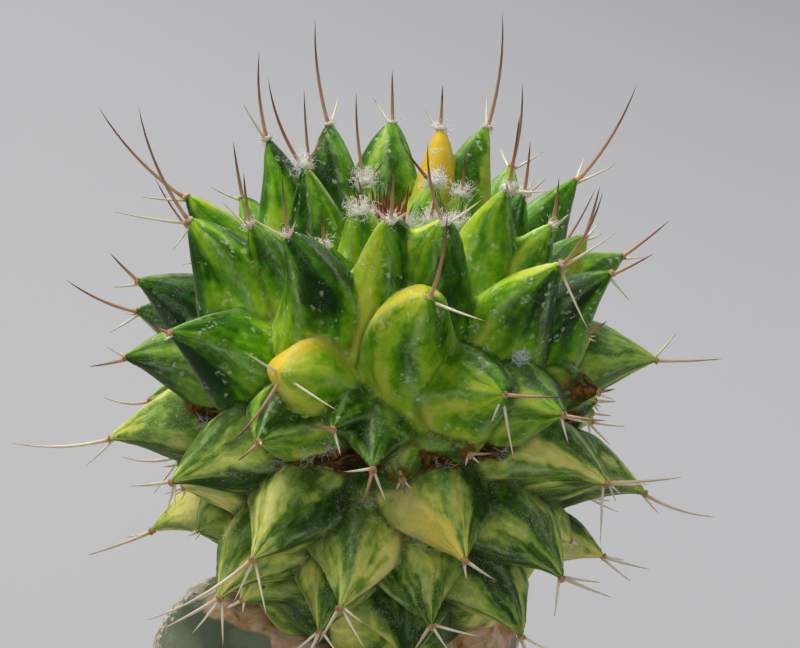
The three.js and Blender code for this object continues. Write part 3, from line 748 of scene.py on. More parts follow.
# Tubercles off their place on the spiral: number, azimuth, distance down
SEEN = [
    (1, 315, 5), (3, 277, 4.5), (4, 53, 7), (5, 236, 7.7), (7, 122, 7), (10, 165, 11.5), (11, 327, 14.5),
    (12, 72, 15.5), (15, 142, 19), (16, 285, 18.9), (17, 58, 19), (20, 115, 19), (21, 267, 18),
    (22, 34, 26.5), (23, 168, 25.5), (24, 316, 26), (25, 92, 20.6), (26, 237, 21.7), (29, 278, 27),
    (31, 195, 24.5), (32, 334, 29), (34, 246, 35), (35, 24, 35), (36, 180, 34), (37, 294, 37),
    (39, 213, 34.4), (42, 258, 40), (44, 192, 40.4), (47, 243, 42), (48, 9, 44.5), (49, 165, 40),
    (50, 308, 40.4), (52, 222, 48.5), (55, 267, 43.6), (57, 180, 51.4), (58, 320, 49), (60, 243, 54),
    (63, 286, 53.3), (68, 261, 58.3), (71, 309, 57.7), (73, 233, 60), (76, 280, 61), (81, 256, 62),
    (84, 303, 64.8), (87, 6, 66.4), (92, 291, 45), (93, 274, 47.4),
]
# Stunted or swollen tubercles: number, share of the usual length, share of the usual girth
STATURE = [
    (6, 0.6, 0.9), (8, 0.6, 0.8), (9, 0.6, 0.9), (12, 1, 0.75), (13, 0.55, 0.85), (14, 0.7, 0.9),
    (16, 1, 1.15), (17, 1, 0.9), (18, 0.7, 0.9), (19, 0.7, 0.95), (20, 1, 0.9), (21, 1, 1.15), (26, 1, 0.95),
    (27, 0.65, 0.9), (28, 0.75, 0.95), (29, 1, 0.95), (31, 1, 1.08), (34, 1, 0.82), (40, 0.3, 0.9),
    (42, 0.9, 0.62), (45, 0.7, 0.8), (53, 0.3, 0.85), (55, 1, 0.65), (61, 0.35, 0.85), (65, 0.4, 0.9),
    (66, 0.55, 0.9), (70, 0.3, 0.85), (78, 0.3, 0.85), (79, 0.35, 0.85), (86, 0.5, 0.9), (91, 0.6, 0.9),
    (92, 0.42, 0.72), (93, 0.36, 0.6),
]


def on_scion(azimuth, radius, height):
    """A point by its azimuth, its distance from the scion's axis and its height over the widest level. The
    upper half leans a little towards +X."""
    x = SCION["x"] + radius * np.cos(azimuth) + SCION["lean"] * np.maximum(height, 0)
    return np.stack([x, SCION["y"] + radius * np.sin(azimuth), SCION["z"] + height + 0 * azimuth], axis=-1)


numbers = np.arange(TUBERCLES)
azimuths = (FIRST_AZIMUTH + TURN * numbers) % 360
downs = read(DOWN, numbers)[0]
for k, seen_azimuth, seen_down in SEEN:
    azimuths[k] = seen_azimuth
    downs[k] = seen_down
azimuths = np.radians(azimuths)
stature = np.ones(TUBERCLES)
girth = np.ones(TUBERCLES)
for k, length_share, girth_share in STATURE:
    stature[k] = length_share
    girth[k] = girth_share

tip_radius, tip_height, root_radius, root_height, half_width, half_height = read(ROWS, downs)
roots = on_scion(azimuths, root_radius, root_height)
tips = roots + (on_scion(azimuths, tip_radius, tip_height) - roots) * stature[:, None]
lengths = np.linalg.norm(tips - roots, axis=1)
axes = (tips - roots) / lengths[:, None]
sidewise = np.stack([-np.sin(azimuths), np.cos(azimuths), 0 * azimuths], axis=-1)
upward = np.cross(axes, sidewise)
upward = upward / np.linalg.norm(upward, axis=1, keepdims=True)
print("tubercles:", TUBERCLES, "lengths", lengths.min().round(1), "to", lengths.max().round(1), "mm")

# %% [markdown]
# A tubercle is a watery cone with four soft edges. Along its length its girth follows one minus a power of
# the way to the tip. Round it, the section lies between an ellipse and a diamond: a superellipse. Its upper
# side is the fuller one, so its middle rises over the straight line and the tip turns out like a claw. Each
# one also gets its own slow dents and twist, because no two press on their neighbours alike. Young tubercles
# are rounder and older ones more angular. Some tips are blunt, like buds.

# %% Tubercles
FORM = {"sunk": -0.35, "foot": 1.14, "start": 0.05, "wear": 1.5, "bow": 0.28, "tip": 0.12}
GRID = {"rings": 25, "sides": 28}
# How sharp the tip is, as a power, by distance down over the tips
POINT = [(0, 1.15), (25, 1.15), (45, 1.35), (55, 1.45), (70, 1.45)]
# Tubercles with a blunt tip: number, power that rounds it
BLUNT = [
    (34, 0.55), (29, 0.6), (37, 0.75), (26, 0.8), (21, 0.8), (16, 0.8), (12, 0.8), (3, 0.7), (5, 0.7),
    (17, 0.9), (20, 0.85), (25, 0.8), (31, 1.0),
]
# Tubercles that lean to one side of the straight line: number, share of the length (positive to the right)
SWAY = [(26, 0.4), (21, 0.2), (24, -0.1), (31, 0.1), (29, -0.3), (37, -0.2), (34, 0.2)]

point = read(POINT, downs)[0]
for k, power in BLUNT:
    point[k] = power
sway = 0.5 * (draw(numbers, 45) - 0.5)
for k, amount in SWAY:
    sway[k] = amount
section_power = np.interp(downs, [15, 50], [1.65, 1.22])
twist = 0.25 * (draw(numbers, 41) - 0.5)


def size_at(u, power):
    """Girth as a share of the full girth: the foot's share times (1 - w to the wear) to a power, where w is
    the way from just under the skin to the tip, plus a small round end for the areole."""
    way = np.clip((u + FORM["start"]) / (1 + FORM["start"]), 0, 1)
    end = FORM["tip"] * way**2 * np.sqrt(1 - way**8)
    return FORM["foot"] * (1 - way ** FORM["wear"]) ** power + end


def dents(k, u, theta):
    """One plus three slow waves round a tubercle that fade at its root and tip."""
    bulge = np.sin(np.pi * np.clip(u, 0, 1))
    waves = 0.045 * np.sin(2 * theta + 6.28 * draw(k, 42))
    waves = waves + 0.03 * np.sin(3 * theta + u * 5 + 6.28 * draw(k, 43))
    return 1 + bulge * (waves + 0.018 * np.sin(theta * 5 + u * 11 + 6.28 * draw(k, 44)))


def spread_out(values):
    """One number for each tubercle, shaped to spread over its rings, sides and coordinates."""
    return np.asarray(values)[:, None, None, None]


def tubercle_grid():
    """All tubercles as one grid of shape (tubercles, rings, sides, 3). u runs from the sunk root, over 0 at
    the skin, to 1 at the tip, and theta from 0 at the right edge over a quarter turn on top."""
    near_tip = 1 - (1 - np.linspace(0, 1, GRID["rings"])) ** 1.35
    u = (FORM["sunk"] + (1 - FORM["sunk"]) * near_tip * 0.997)[None, :, None, None]
    theta = (2 * np.pi * np.arange(GRID["sides"]) / GRID["sides"])[None, None, :, None]
    power = spread_out(section_power)
    size = size_at(u, spread_out(point)) * spread_out(girth)
    reach = (np.abs(np.cos(theta)) ** power + np.abs(np.sin(theta)) ** power) ** (-1 / power)
    reach = reach * size * dents(spread_out(numbers), u, theta)
    turned_by = theta + spread_out(twist) * u
    across = reach * np.cos(turned_by) * spread_out(half_width)
    over = reach * np.sin(turned_by) * spread_out(half_height)
    bend = spread_out(lengths) * u * (1 - u)
    points = roots[:, None, None] + axes[:, None, None] * spread_out(lengths) * u
    points = points + sidewise[:, None, None] * (across + spread_out(sway) * bend)
    return points + upward[:, None, None] * (over + FORM["bow"] * bend)


# %% [markdown]
# The body under the tubercles shows only in the grooves and in the crease. It is turned from its side view.

# %% Body
CORE = [
    (0, 20.6), (5, 20.4), (9, 19.2), (12.6, 17.2), (15.4, 14.4), (17.2, 11.6), (18.2, 8.6), (18.6, 6),
    (18.5, 4.6), (19.3, 2.4), (19.4, -1), (18.8, -4.6), (17.6, -8.6), (15.6, -13), (12, -19),
]
CREASE = {"height": 5.0, "radius": 18.6, "tuck": 1.5}


def body_grid(sides=96):
    """The body as a grid: its side view read between its corners every millimetre, from the foot up, and
    turned about the scion's axis, with shallow folds round the crease."""
    corners = np.array(CORE[::-1], float)
    reach = np.concatenate([[0], np.cumsum(np.linalg.norm(np.diff(corners, axis=0), axis=1))])
    way = np.linspace(0, reach[-1] - 0.3, 60)
    radius = np.interp(way, reach, corners[:, 0])[:, None]
    height = np.interp(way, reach, corners[:, 1])[:, None]
    azimuth = 2 * np.pi * np.arange(sides) / sides
    folds = 0.22 * np.sin(azimuth * 23) * np.exp(-(((height - CREASE["height"]) / 3) ** 2))
    return on_scion(azimuth, radius + folds, height)[None]


# %% [markdown]
# The skin of the real plant runs on from one tubercle to the next. So the tubercles and the body, which only
# pass through each other so far, are remeshed into one closed skin with voxels of about 0.4 mm. Afterwards
# each point of the skin finds its own tubercle: the one whose surface is nearest, measured across its
# section. How much farther the next one's surface is tells how far the point lies from the groove between
# the two, and there the skin is drawn in, as plump tissue bulges beside a fold.

# %% One skin
SKIN = {"voxel": 0.42}
# Depth and width of the folds between tubercles, by distance down over the tips: the older, the deeper
FOLDS = [(0, 0.7, 0.5), (36, 0.7, 0.5), (50, 1.5, 0.8), (70, 1.5, 0.8)]


def remeshed(name, pieces):
    """One closed mesh round all the pieces, which are used up: its points in mm, its quads and its edges."""
    bpy.ops.object.select_all(action="DESELECT")
    for piece in pieces:
        piece.select_set(True)
    whole = pieces[0]
    bpy.context.view_layer.objects.active = whole
    bpy.ops.object.join()
    voxels = whole.modifiers.new("voxels", "REMESH")
    voxels.mode = "VOXEL"
    voxels.voxel_size = SKIN["voxel"] * MM
    bpy.ops.object.modifier_apply(modifier=voxels.name)
    mesh = whole.data
    points = np.empty(len(mesh.vertices) * 3, np.float32)
    mesh.vertices.foreach_get("co", points)
    edges = np.empty(len(mesh.edges) * 2, np.int32)
    mesh.edges.foreach_get("vertices", edges)
    corners = np.empty(len(mesh.loops), np.int32)
    mesh.loops.foreach_get("vertex_index", corners)
    bpy.data.objects.remove(whole)
    return points.reshape(-1, 3).astype(float) / MM, corners.reshape(-1, 4), edges.reshape(-1, 2)


def outside(points):
    """For each point and each tubercle: how many mm the point lies outside the tubercle, across its section,
    with the point's way along it and its angle round it."""
    apart = points[:, None] - roots
    u = (apart * axes).sum(-1) / lengths
    bend = lengths * u * (1 - u)
    across = ((apart * sidewise).sum(-1) - sway * bend) / half_width
    over = ((apart * upward).sum(-1) - FORM["bow"] * bend) / half_height
    theta = np.arctan2(over, across) - twist * u
    rounded_square = np.abs(np.cos(theta)) ** section_power + np.abs(np.sin(theta)) ** section_power
    beyond = np.hypot(over, across) - size_at(u, point) * girth * rounded_square ** (-1 / section_power)
    far = np.abs(u - 0.35) > 0.85
    return np.where(far, 99.0, beyond * (half_width + half_height) / 2), u, theta


def owners(points):
    """Each point's own tubercle, its way along and angle round it, and how much farther the next one is."""
    found = []
    for part in np.array_split(points, max(1, len(points) // 4000)):
        beyond, u, theta = outside(part)
        rows = np.arange(len(part))
        own = beyond.argmin(axis=1)
        first = beyond[rows, own].copy()
        beyond[rows, own] = 99.0
        found.append(np.stack([own, u[rows, own], theta[rows, own], beyond.min(axis=1) - first]))
    own, u, theta, gap = np.concatenate(found, axis=1)
    return own.astype(int), u, theta, gap


def relaxed(values, edges, share, rounds):
    """Rows of values, one for each point, moved again and again by their share of the way to the mean of
    their neighbours."""
    ends = np.concatenate([edges, edges[:, ::-1]])
    count = np.bincount(ends[:, 0], minlength=len(values))[:, None]
    for _ in range(rounds):
        columns = [np.bincount(ends[:, 0], column[ends[:, 1]], len(values)) for column in values.T]
        values = values + share[:, None] * (np.stack(columns, axis=-1) / count - values)
    return values


def out_of_plant(points):
    """The way out of the plant at each point, with length one: away from the nearest point of a short upright
    line inside it."""
    inside = np.zeros_like(points)
    inside[:, 0] = SCION["x"]
    inside[:, 1] = SCION["y"]
    inside[:, 2] = np.clip(points[:, 2], SCION["z"] - 8, SCION["z"] + 8)
    return (points - inside) / np.linalg.norm(points - inside, axis=1, keepdims=True)


cone = make_shells("cones", tubercle_grid())
core = make_shells("core", body_grid())
skin_points, skin_quads, skin_edges = remeshed("skin", [cone, core])
everywhere = np.ones(len(skin_points))
skin_points = relaxed(skin_points, skin_edges, 0.3 * everywhere, 1)
own, u, theta, gap = owners(skin_points)
gap = relaxed(np.minimum(gap, 3)[:, None], skin_edges, 0.5 * everywhere, 1)[:, 0]
fold_depth, fold_width = read(FOLDS, downs[own])
fold = fold_depth * np.exp(-gap / fold_width) * np.clip((0.95 - u) / 0.3, 0, 1)
skin_points = skin_points - out_of_plant(skin_points) * fold[:, None]
skin_points = relaxed(skin_points, skin_edges, 0.35 * everywhere, 1)
fewest = np.bincount(own, minlength=TUBERCLES).min()
print("skin:", len(skin_points), "points,", fewest, "on the smallest tubercle")

# %% [markdown]
# The skin is variegated: each tubercle has its own share of yellow tissue, gathered towards one of its sides
# in long streaks. The share is a number for every point: the tubercle's own, and a cosine round it that is
# added. Those that face the camera are chosen from the photograph; the others are drawn.

# %% The share of yellow in the skin
# Number, share of yellow, the side it gathers on in degrees (0 right, 90 top, 180 left, as the camera sees a
# tubercle that points at it), how strongly, share of gold
YELLOW = [
    (3, 0.6, 200, 0.2, 0.1), (5, 0.65, 120, 0.2, 0.1), (11, 0.6, 90, 0.2, 0.1), (12, 0.95, 90, 0.0, 1.0),
    (16, 0.5, 150, 0.3, 0.1), (20, 0.3, 200, 0.2, 0.0), (21, 0.5, 170, 0.5, 0.1), (24, 0.5, 100, 0.4, 0.1),
    (26, 0.35, 180, 0.2, 0.0), (29, 0.64, 110, 0.2, 0.5), (31, 0.4, 20, 0.2, 0.0), (34, 0.95, 165, 0.3, 1.0),
    (36, 0.25, 200, 0.2, 0.0), (37, 0.48, 200, 0.3, 0.1), (39, 0.25, 90, 0.2, 0.0), (42, 0.3, 180, 0.2, 0.0),
    (44, 0.25, 90, 0.2, 0.0), (47, 0.4, 270, 0.2, 0.1), (48, 0.35, 240, 0.2, 0.0), (50, 0.3, 180, 0.3, 0.0),
    (52, 0.3, 90, 0.3, 0.1), (55, 0.15, 90, 0.1, 0.0), (58, 0.3, 170, 0.4, 0.1), (60, 0.5, 170, 0.25, 0.1),
    (63, 0.52, 170, 0.42, 0.6), (68, 0.46, 20, 0.3, 0.1), (71, 0.24, 90, 0.2, 0.0), (73, 0.45, 90, 0.2, 0.1),
    (76, 0.36, 0, 0.2, 0.1),
]
share = 0.26 + 0.3 * draw(numbers, 51)
gather_side = 2 * np.pi * draw(numbers, 52)
gather = 0.1 + 0.35 * draw(numbers, 53)
gold = 0.3 * draw(numbers, 54) ** 2
for k, yellow_share, degrees, strength, gold_share in YELLOW:
    share[k] = yellow_share
    gather_side[k] = np.radians(degrees)
    gather[k] = strength
    gold[k] = gold_share

# Tubercles whose skin has dried brown towards the tip: number, how far
SCARRED = [(45, 0.7), (47, 0.3), (92, 0.5), (93, 0.5)]
scar = np.zeros(TUBERCLES)
for k, amount in SCARRED:
    scar[k] = amount


def near_crease(points):
    """1 in the crease and 0 a few millimetres from it: bell curves of the height and of the distance out."""
    radius = np.hypot(points[..., 0] - SCION["x"], points[..., 1] - SCION["y"])
    height = points[..., 2] - SCION["z"]
    level = np.exp(-(((height - CREASE["height"]) / 1.3) ** 2))
    return level * np.exp(-((np.maximum(radius - CREASE["radius"], 0) / 1.8) ** 2))


# How far the grain moves on between a tubercle's foot and its tip, as a share of the tubercle's length
GRAIN_DRIFT = 0.5


def grain_of(own, u, theta):
    """Where a point lies in the grain of the skin, in mm: the place on its tubercle's foot from which its
    streak starts, carried outwards by the drift. So streaks run along the tubercle and meet at its tip."""
    across = sidewise[own] * (half_width * girth)[own, None] * np.cos(theta)[:, None]
    over = upward[own] * (half_height * girth)[own, None] * np.sin(theta)[:, None]
    drift = axes[own] * (GRAIN_DRIFT * lengths[own] * u)[:, None]
    return roots[own] + FORM["foot"] * (across + over) + drift


# Yellow gathers on a tubercle's own side, and while it is young at its foot too. Gold is on the same side
# towards the tip. Where the yellow doesn't gather on a side, the gold goes all round.
toward_side = np.cos(theta - gather_side[own])
aged = np.interp(downs[own], [36, 50], [0, 1])
young_foot = np.interp(u, [0.05, 0.5], [0.37, -0.045])
old_foot = np.interp(u, [0.1, 0.3], [-0.1, 0.02])
at_foot = young_foot * (1 - aged) + old_foot * aged
yellow = share[own] + 0.8 * gather[own] * toward_side + at_foot + np.interp(u, [0.7, 0.95], [0, 0.12])
one_sided = np.clip(5 * gather[own], 0, 1)
golden = gold[own] * np.interp(u, [0.25, 0.6], [0, 1])
golden = golden * (1 - one_sided * np.interp(toward_side, [-0.4, 0.2], [1, 0]))
tones = relaxed(np.stack([yellow, golden], axis=-1), skin_edges, 0.5 * everywhere, 2)
ridge = np.exp(-((np.minimum(np.abs(np.sin(theta)), np.abs(np.cos(theta))) / 0.12) ** 2))
skin = make_mesh(
    "skin", skin_points, skin_quads, grain=grain_of(own, u, theta), yellow=tones[:, 0], gold=tones[:, 1],
    # The next mark is painted shade: it is 1 along the grooves between tubercles, where the skin is coloured
    # darker.
    age=aged, groove=np.exp(-((gap / fold_width) ** 2)) * np.interp(u, [0.7, 0.9], [1, 0]),
    # The next mark is a pale line along each tubercle's ridges: partly wax, partly a painted highlight.
    rim=ridge * np.interp(u, [0.05, 0.2, 0.85, 0.98], [0, 1, 1, 0]),
    crease=np.maximum(near_crease(skin_points), scar[own] * np.interp(u, [0.3, 0.75], [0, 1])),
)


# The living skin of a variegated cactus, under a waxy cuticle. Where tissue lacks green the yellow shows; the
# green lies in long streaks over it. The grooves between the tubercles' flanks are painted deep green, as
# shade, and the ridges paler, partly from wax and partly as a painted highlight. Hard water leaves pale rings
# and flecks. The skin above the crease is this season's and glossy, and below it is older, dull and dusted
# with fine pale scurf.
def cactus_skin():
    material, tree, shader = new_material("cactus_skin")
    place = add(tree, "ShaderNodeTexCoord").outputs["Object"]
    age = attribute(tree, "age")
    wander = noise(tree, place, 2.6, detail=2.0, output="Color")
    wandering = {"_0": wander, "_1": (2.8, 2.8, 2.8), "_2": attribute(tree, "grain", "Vector")}
    grain = add(tree, "ShaderNodeVectorMath", {"operation": "MULTIPLY_ADD"}, **wandering).outputs[0]
    blotches = add(tree, "ShaderNodeTexNoise", Vector=grain, Scale=0.27, Detail=2.0)
    streaks = add(tree, "ShaderNodeTexNoise", Vector=grain, Scale=1.0, Detail=4.0, Roughness=0.6)
    streak = streaks.outputs["Fac"]
    widest = between(tree, age, 0, 1, 0.21, 0.3)
    lean = sums(tree, "MULTIPLY", between(tree, blotches.outputs["Fac"], 0.32, 0.68, -1, 1), widest)
    strength = between(tree, age, 0, 1, 0.06, 0.13)
    line = sums(tree, "MULTIPLY", between(tree, streak, 0.25, 0.75, -1, 1), strength)
    mottle = between(tree, noise(tree, place, 1.0, detail=4.0, roughness=0.6), 0.3, 0.7, -0.07, 0.07)
    amount = sums(tree, "ADD", attribute(tree, "yellow"), lean, line, mottle)
    greens = [(0.0, "#133205"), (0.25, "#2d5c06"), (0.5, "#5d960f"), (0.75, "#97be26"), (1.0, "#c8d24c")]
    young = ramp(tree, amount, greens)
    duller = [(0.0, "#294713"), (0.25, "#547626"), (0.5, "#93ad46"), (0.75, "#cdd26a"), (1.0, "#eee58c")]
    old = ramp(tree, amount, duller)
    colour = mix(tree, age, young, old)
    # Painted shade: the skin is coloured deep green along the grooves between tubercles, more on the old
    # skin.
    groove_shade_strength = between(tree, age, 0, 1, 0.55, 0.8)
    groove_shade_share = sums(tree, "MULTIPLY", between(tree, attribute(tree, "groove"), 0.2, 1.0), groove_shade_strength)
    colour = mix(tree, groove_shade_share, colour, mix(tree, age, linear("#173807"), linear("#2f3f12")))
    golden = sums(tree, "MULTIPLY", attribute(tree, "gold"), between(tree, amount, 0.45, 0.75))
    colour = mix(tree, golden, colour, linear("#e0bd2c"))
    # A pale line along the ridges, partly wax and partly a painted highlight.
    ridge_wax_and_highlight_share = sums(tree, "MULTIPLY", attribute(tree, "rim"), between(tree, streak, 0.42, 0.62, 0.12, 0.55))
    colour = mix(tree, ridge_wax_and_highlight_share, colour, linear("#a8bb88"))
    stir = noise(tree, place, 0.9, detail=2.0, output="Color")
    stirring = {"_0": stir, "_1": (MM, MM, MM), "_2": place}
    stirred = add(tree, "ShaderNodeVectorMath", {"operation": "MULTIPLY_ADD"}, **stirring).outputs[0]
    rings = add(tree, "ShaderNodeTexVoronoi", Vector=stirred, Scale=per_mm(1.5)).outputs["Distance"]
    outside = between(tree, rings, 0.16, 0.24)
    inside = between(tree, rings, 0.4, 0.28)
    where = between(tree, noise(tree, place, 3.5, detail=3.0), 0.47, 0.62)
    broken = between(tree, noise(tree, place, 0.45, detail=2.0), 0.45, 0.6)
    fleck = sums(tree, "MULTIPLY", outside, inside, where, broken, between(tree, age, 0.5, 0.0))
    dots = add(tree, "ShaderNodeTexVoronoi", Vector=stirred, Scale=per_mm(1.1)).outputs["Distance"]
    dot = between(tree, sums(tree, "ADD", dots, between(tree, broken, 0, 1, 0.0, 0.1)), 0.3, 0.16)
    dotted = between(tree, noise(tree, place, 4.5, detail=3.0), 0.45, 0.6)
    fleck = sums(tree, "MAXIMUM", fleck, sums(tree, "MULTIPLY", dot, dotted, 0.8))
    fleck = sums(tree, "MULTIPLY", fleck, between(tree, age, 0, 1, 0.7, 0.25))
    colour = mix(tree, fleck, colour, linear("#c9d4b6"))
    dust = between(tree, noise(tree, place, 0.16, detail=3.0, roughness=0.7), 0.5, 0.68)
    drift = between(tree, noise(tree, place, 2.4, detail=4.0), 0.4, 0.66)
    scurf = sums(tree, "MULTIPLY", dust, drift, between(tree, age, 0, 1, 0.22, 0.62))
    colour = mix(tree, scurf, colour, linear("#c2c9b4"))
    spots = add(tree, "ShaderNodeTexVoronoi", Vector=place, Scale=per_mm(5.5)).outputs["Distance"]
    colour = mix(tree, between(tree, spots, 0.06, 0.035, 0, 0.8), colour, linear("#5a3112"))
    dry = noise(tree, place, 1.1, detail=4.0, roughness=0.65)
    cork = ramp(tree, dry, [(0.3, "#1e1607"), (0.5, "#453212"), (0.64, "#80592a"), (0.78, "#b6935a")])
    crease = sums(tree, "MULTIPLY", attribute(tree, "crease"), between(tree, dry, 0.3, 0.6, 0.75, 1.5))
    dried = between(tree, crease, 0.4, 0.8)
    colour = mix(tree, dried, colour, cork)
    tree.links.new(colour, shader.inputs["Base Color"])
    matte = sums(tree, "MAXIMUM", scurf, fleck, dried)
    gloss = between(tree, age, 0, 1, 0.38, 0.58)
    tree.links.new(sums(tree, "ADD", gloss, sums(tree, "MULTIPLY", matte, 0.4)), shader.inputs["Roughness"])
    skin_cells = noise(tree, place, 0.3, detail=2.0)
    first = bump(tree, skin_cells, 0.025)
    second = bump(tree, noise(tree, place, 1.6, detail=3.0), 0.12, first)
    tree.links.new(bump(tree, sums(tree, "ADD", fleck, scurf), 0.04, second), shader.inputs["Normal"])
    shader.inputs["Subsurface Weight"].default_value = 0.12
    shader.inputs["Subsurface Radius"].default_value = (0.6, 1.0, 0.25)
    shader.inputs["Subsurface Scale"].default_value = 1.2 * MM
    shader.inputs["Specular IOR Level"].default_value = 0.12
    return material


skin.data.materials.append(cactus_skin())

# %% [markdown]
# Every tubercle ends in an areole, a small pad of felt from which the spines grow. Spines and hairs are both
# stalks: a centre line that bends as a parabola, with a ring of points round it that shrinks towards the tip.
# One function makes thousands of either at once.


# %% Stalks, for spines and hairs
def unit(vectors):
    """Vectors with length one."""
    return vectors / np.linalg.norm(vectors, axis=-1, keepdims=True)


def stalks(start, along_it, length, radius, bend, over, rings, sides, foot=0.0, taper=0.8):
    """Tapered stalks as a grid of shape (stalks, rings, sides, 3). The centre line leaves along its direction
    and is pushed along over by bend times its length times t (t - 1). The radius is one minus t to a power,
    and foot thickens the first tenth."""
    t = np.linspace(0, 0.99, rings)[None, :, None, None]
    angle = (2 * np.pi * np.arange(sides) / sides)[None, None, :, None]
    forward = unit(along_it)[:, None, None]
    up = unit(over - (over * unit(along_it)).sum(1, keepdims=True) * unit(along_it))[:, None, None]
    across = np.cross(forward, up)
    length = spread_out(length)
    centre = start[:, None, None] + forward * length * t
    centre = centre + up * spread_out(bend) * length * t * (t - 1)
    thick = spread_out(radius) * (1 - t**1.6) ** taper * (1 + foot * np.exp(-((t / 0.06) ** 2)))
    return centre + thick * (across * np.cos(angle) + up * np.sin(angle))


def heading(azimuth, rise):
    """The direction of a spine by its azimuth and its rise above level, both in radians."""
    return np.stack([np.cos(rise) * np.cos(azimuth), np.cos(rise) * np.sin(azimuth), np.sin(rise)], axis=-1)


# %% [markdown]
# Each areole of the upper half carries one long brown spine with a nearly black tip, which curves up, and a
# few short cream ones. Below the crease the spines are paler and point out and down. Those that the
# photograph shows are listed by length, rise and swing. The others follow a rule, as in the part's source.

# %% Spines
SPINES = {
    4: [(5, 52, 120), (3, 70, -40)],
    5: [(2.6, 84, 0), (3, 55, -60)],
    7: [(9.5, 80, 0), (3, 45, 60), (3.2, 50, -100)],
    10: [(10, 70, 15), (5.3, 60, -165)],
    11: [(8, 82, 20), (5, 8, 13), (4, 30, -60)],
    12: [(5, 80, 0), (3, 40, 60)],
    15: [(9.5, 84, 0), (5, 60, 50)],
    16: [(8.5, 79, -100), (4.5, 37, 75), (2.5, 20, -30)],
    17: [(12.5, 81, -20), (5, 40, 30)],
    20: [(11.5, 80, 20), (5, 35, -40)],
    21: [(7, 78, 20), (3.5, 50, -60), (3, 40, 60)],
    22: [(12, 56, -14), (5, 20, 40), (5, 30, -50)],
    23: [(13, 46, 2), (5, 10, 30)],
    24: [(9.5, 62, 14), (7, 37, 24), (7, -57, 4)],
    25: [(6, 80, 0), (4, 40, 40)],
    26: [(6.5, 82, 0), (5, 33, -47), (2.6, 60, 70)],
    29: [(10, 75, 32), (7, -4, 42)],
    31: [(13, 68, -15), (8, 14, 0), (3.3, -37, 35)],
    32: [(5, 30, 20), (3.2, -50, 20)],
    34: [(9, -36, -21), (7, -19, 79), (5, 37, -46)],
    35: [(6.5, 35, -10), (4, -10, 20)],
    36: [(4.5, 47, 0), (3, 0, 20)],
    37: [(7, 9, 36), (7, -74, 16), (3, -50, -60)],
    39: [(2.6, 30, -20), (2, 0, 30)],
    42: [(3, 20, -40), (3, -40, 30)],
    44: [(4, -8, 0), (2.5, 30, -10)],
    45: [(2.5, 20, 0), (2, -20, 30)],
    47: [(3, -30, -30), (2, 10, 30)],
    48: [(7.5, -2, 0), (4, 40, 20)],
    50: [(5, 5, 20), (3, -65, 0), (3, -20, 60)],
    52: [(4.6, 0, -25), (3.6, -70, 0), (3, -50, 50)],
    55: [(4, -60, -30), (3.6, -60, 50), (3, 0, -70)],
    57: [(10.5, -3, 0), (4, -40, 20)],
    58: [(7.8, 10, 26), (4.6, 0, 36), (6, -76, -60)],
    60: [(12, -22, -38), (6.5, -50, 46), (5, -60, -30)],
    63: [(4, -20, 40), (2.2, -60, 0)],
    68: [(4.6, -40, -30), (5.2, -38, 46), (3.2, -20, 60)],
    71: [(6, -8, 18), (4.2, 0, 30), (4, -70, -60)],
    74: [(8.5, -22, 0), (4, -50, 30)],
    76: [(4, -50, -40), (4, -60, 20), (5.6, -6, 60)],
    83: [(8, -24, 4), (4, -50, -20)],
}
SPINE_RADIUS = {"long": 0.2, "short": 0.16}
SPINE_ROOT = 0.8
SPINE_GRID = {"rings": 10, "sides": 7}
# How strongly a spine bends, as a share of its length: one that is longer than so many mm, and any other
BEND = {"from": 8, "long": 0.244, "short": 0.06}
# The least length of the long spine by distance down, where the photograph doesn't show it
LONG_SPINE = [(0, 6), (23, 6), (26, 8), (46, 8), (49, 6), (60, 6), (62, 3.5)]
LOWEST_ROWS = {"from": 60, "rise": -24}


def usual_spines(k, down, rise):
    """The spines of a tubercle that the photograph doesn't show: length, rise and swing of one long one and
    two or three short ones, by the number's draws. They are made as stunted as the tubercle afterwards."""
    if down < 8:
        return [(4 + 2 * draw(k, 11), 74, 40 * (draw(k, 12) - 0.5)), (3, 60, 120), (2.6, 60, -110)]
    lower = down > 46
    long = read(LONG_SPINE, down)[0] + 3 * draw(k, 11)
    lift = rise - 8 + 14 * draw(k, 13) if lower else min(rise + 14 + 16 * draw(k, 13), 84)
    return [
        (long, lift, 40 * (draw(k, 12) - 0.5)),
        (3.5 + 2 * draw(k, 14), rise - 34, 34 + 16 * draw(k, 15)),
        (3.5 + 2 * draw(k, 16), rise - 30, -34 - 16 * draw(k, 17)),
    ]


def spine_list():
    """Every spine as a row: tubercle, length, rise and azimuth in radians, 1 if it is the long one."""
    found = []
    for k in numbers:
        rise = np.degrees(np.arcsin(axes[k, 2]))
        share = 1 if k in SPINES else stature[k]
        for j, (length, lift, swing) in enumerate(SPINES.get(k) or usual_spines(k, downs[k], rise)):
            if downs[k] > LOWEST_ROWS["from"]:
                lift = max(lift, LOWEST_ROWS["rise"])
            reach = max(length * share, 2 * SPINE_ROOT)
            found.append((k, reach, np.radians(lift), azimuths[k] + np.radians(swing), j == 0))
    return np.array(found, float).T


spine_k, spine_length, spine_rise, spine_azimuth, is_long = spine_list()
spine_k = spine_k.astype(int)
ahead = heading(spine_azimuth, spine_rise)
aside = np.stack([-np.sin(spine_azimuth), np.cos(spine_azimuth), 0 * spine_azimuth], axis=-1)
spine_start = tips[spine_k] - axes[spine_k] * SPINE_ROOT
spine_radius = np.where(is_long > 0, SPINE_RADIUS["long"], SPINE_RADIUS["short"])
spine_bend = np.where(spine_length > BEND["from"], BEND["long"], BEND["short"])
spine_over = np.cross(ahead, aside)
spine_grid = stalks(
    spine_start, ahead, spine_length, spine_radius, spine_bend, spine_over, *SPINE_GRID.values(), foot=0.35
)
spine_down = downs[spine_k]
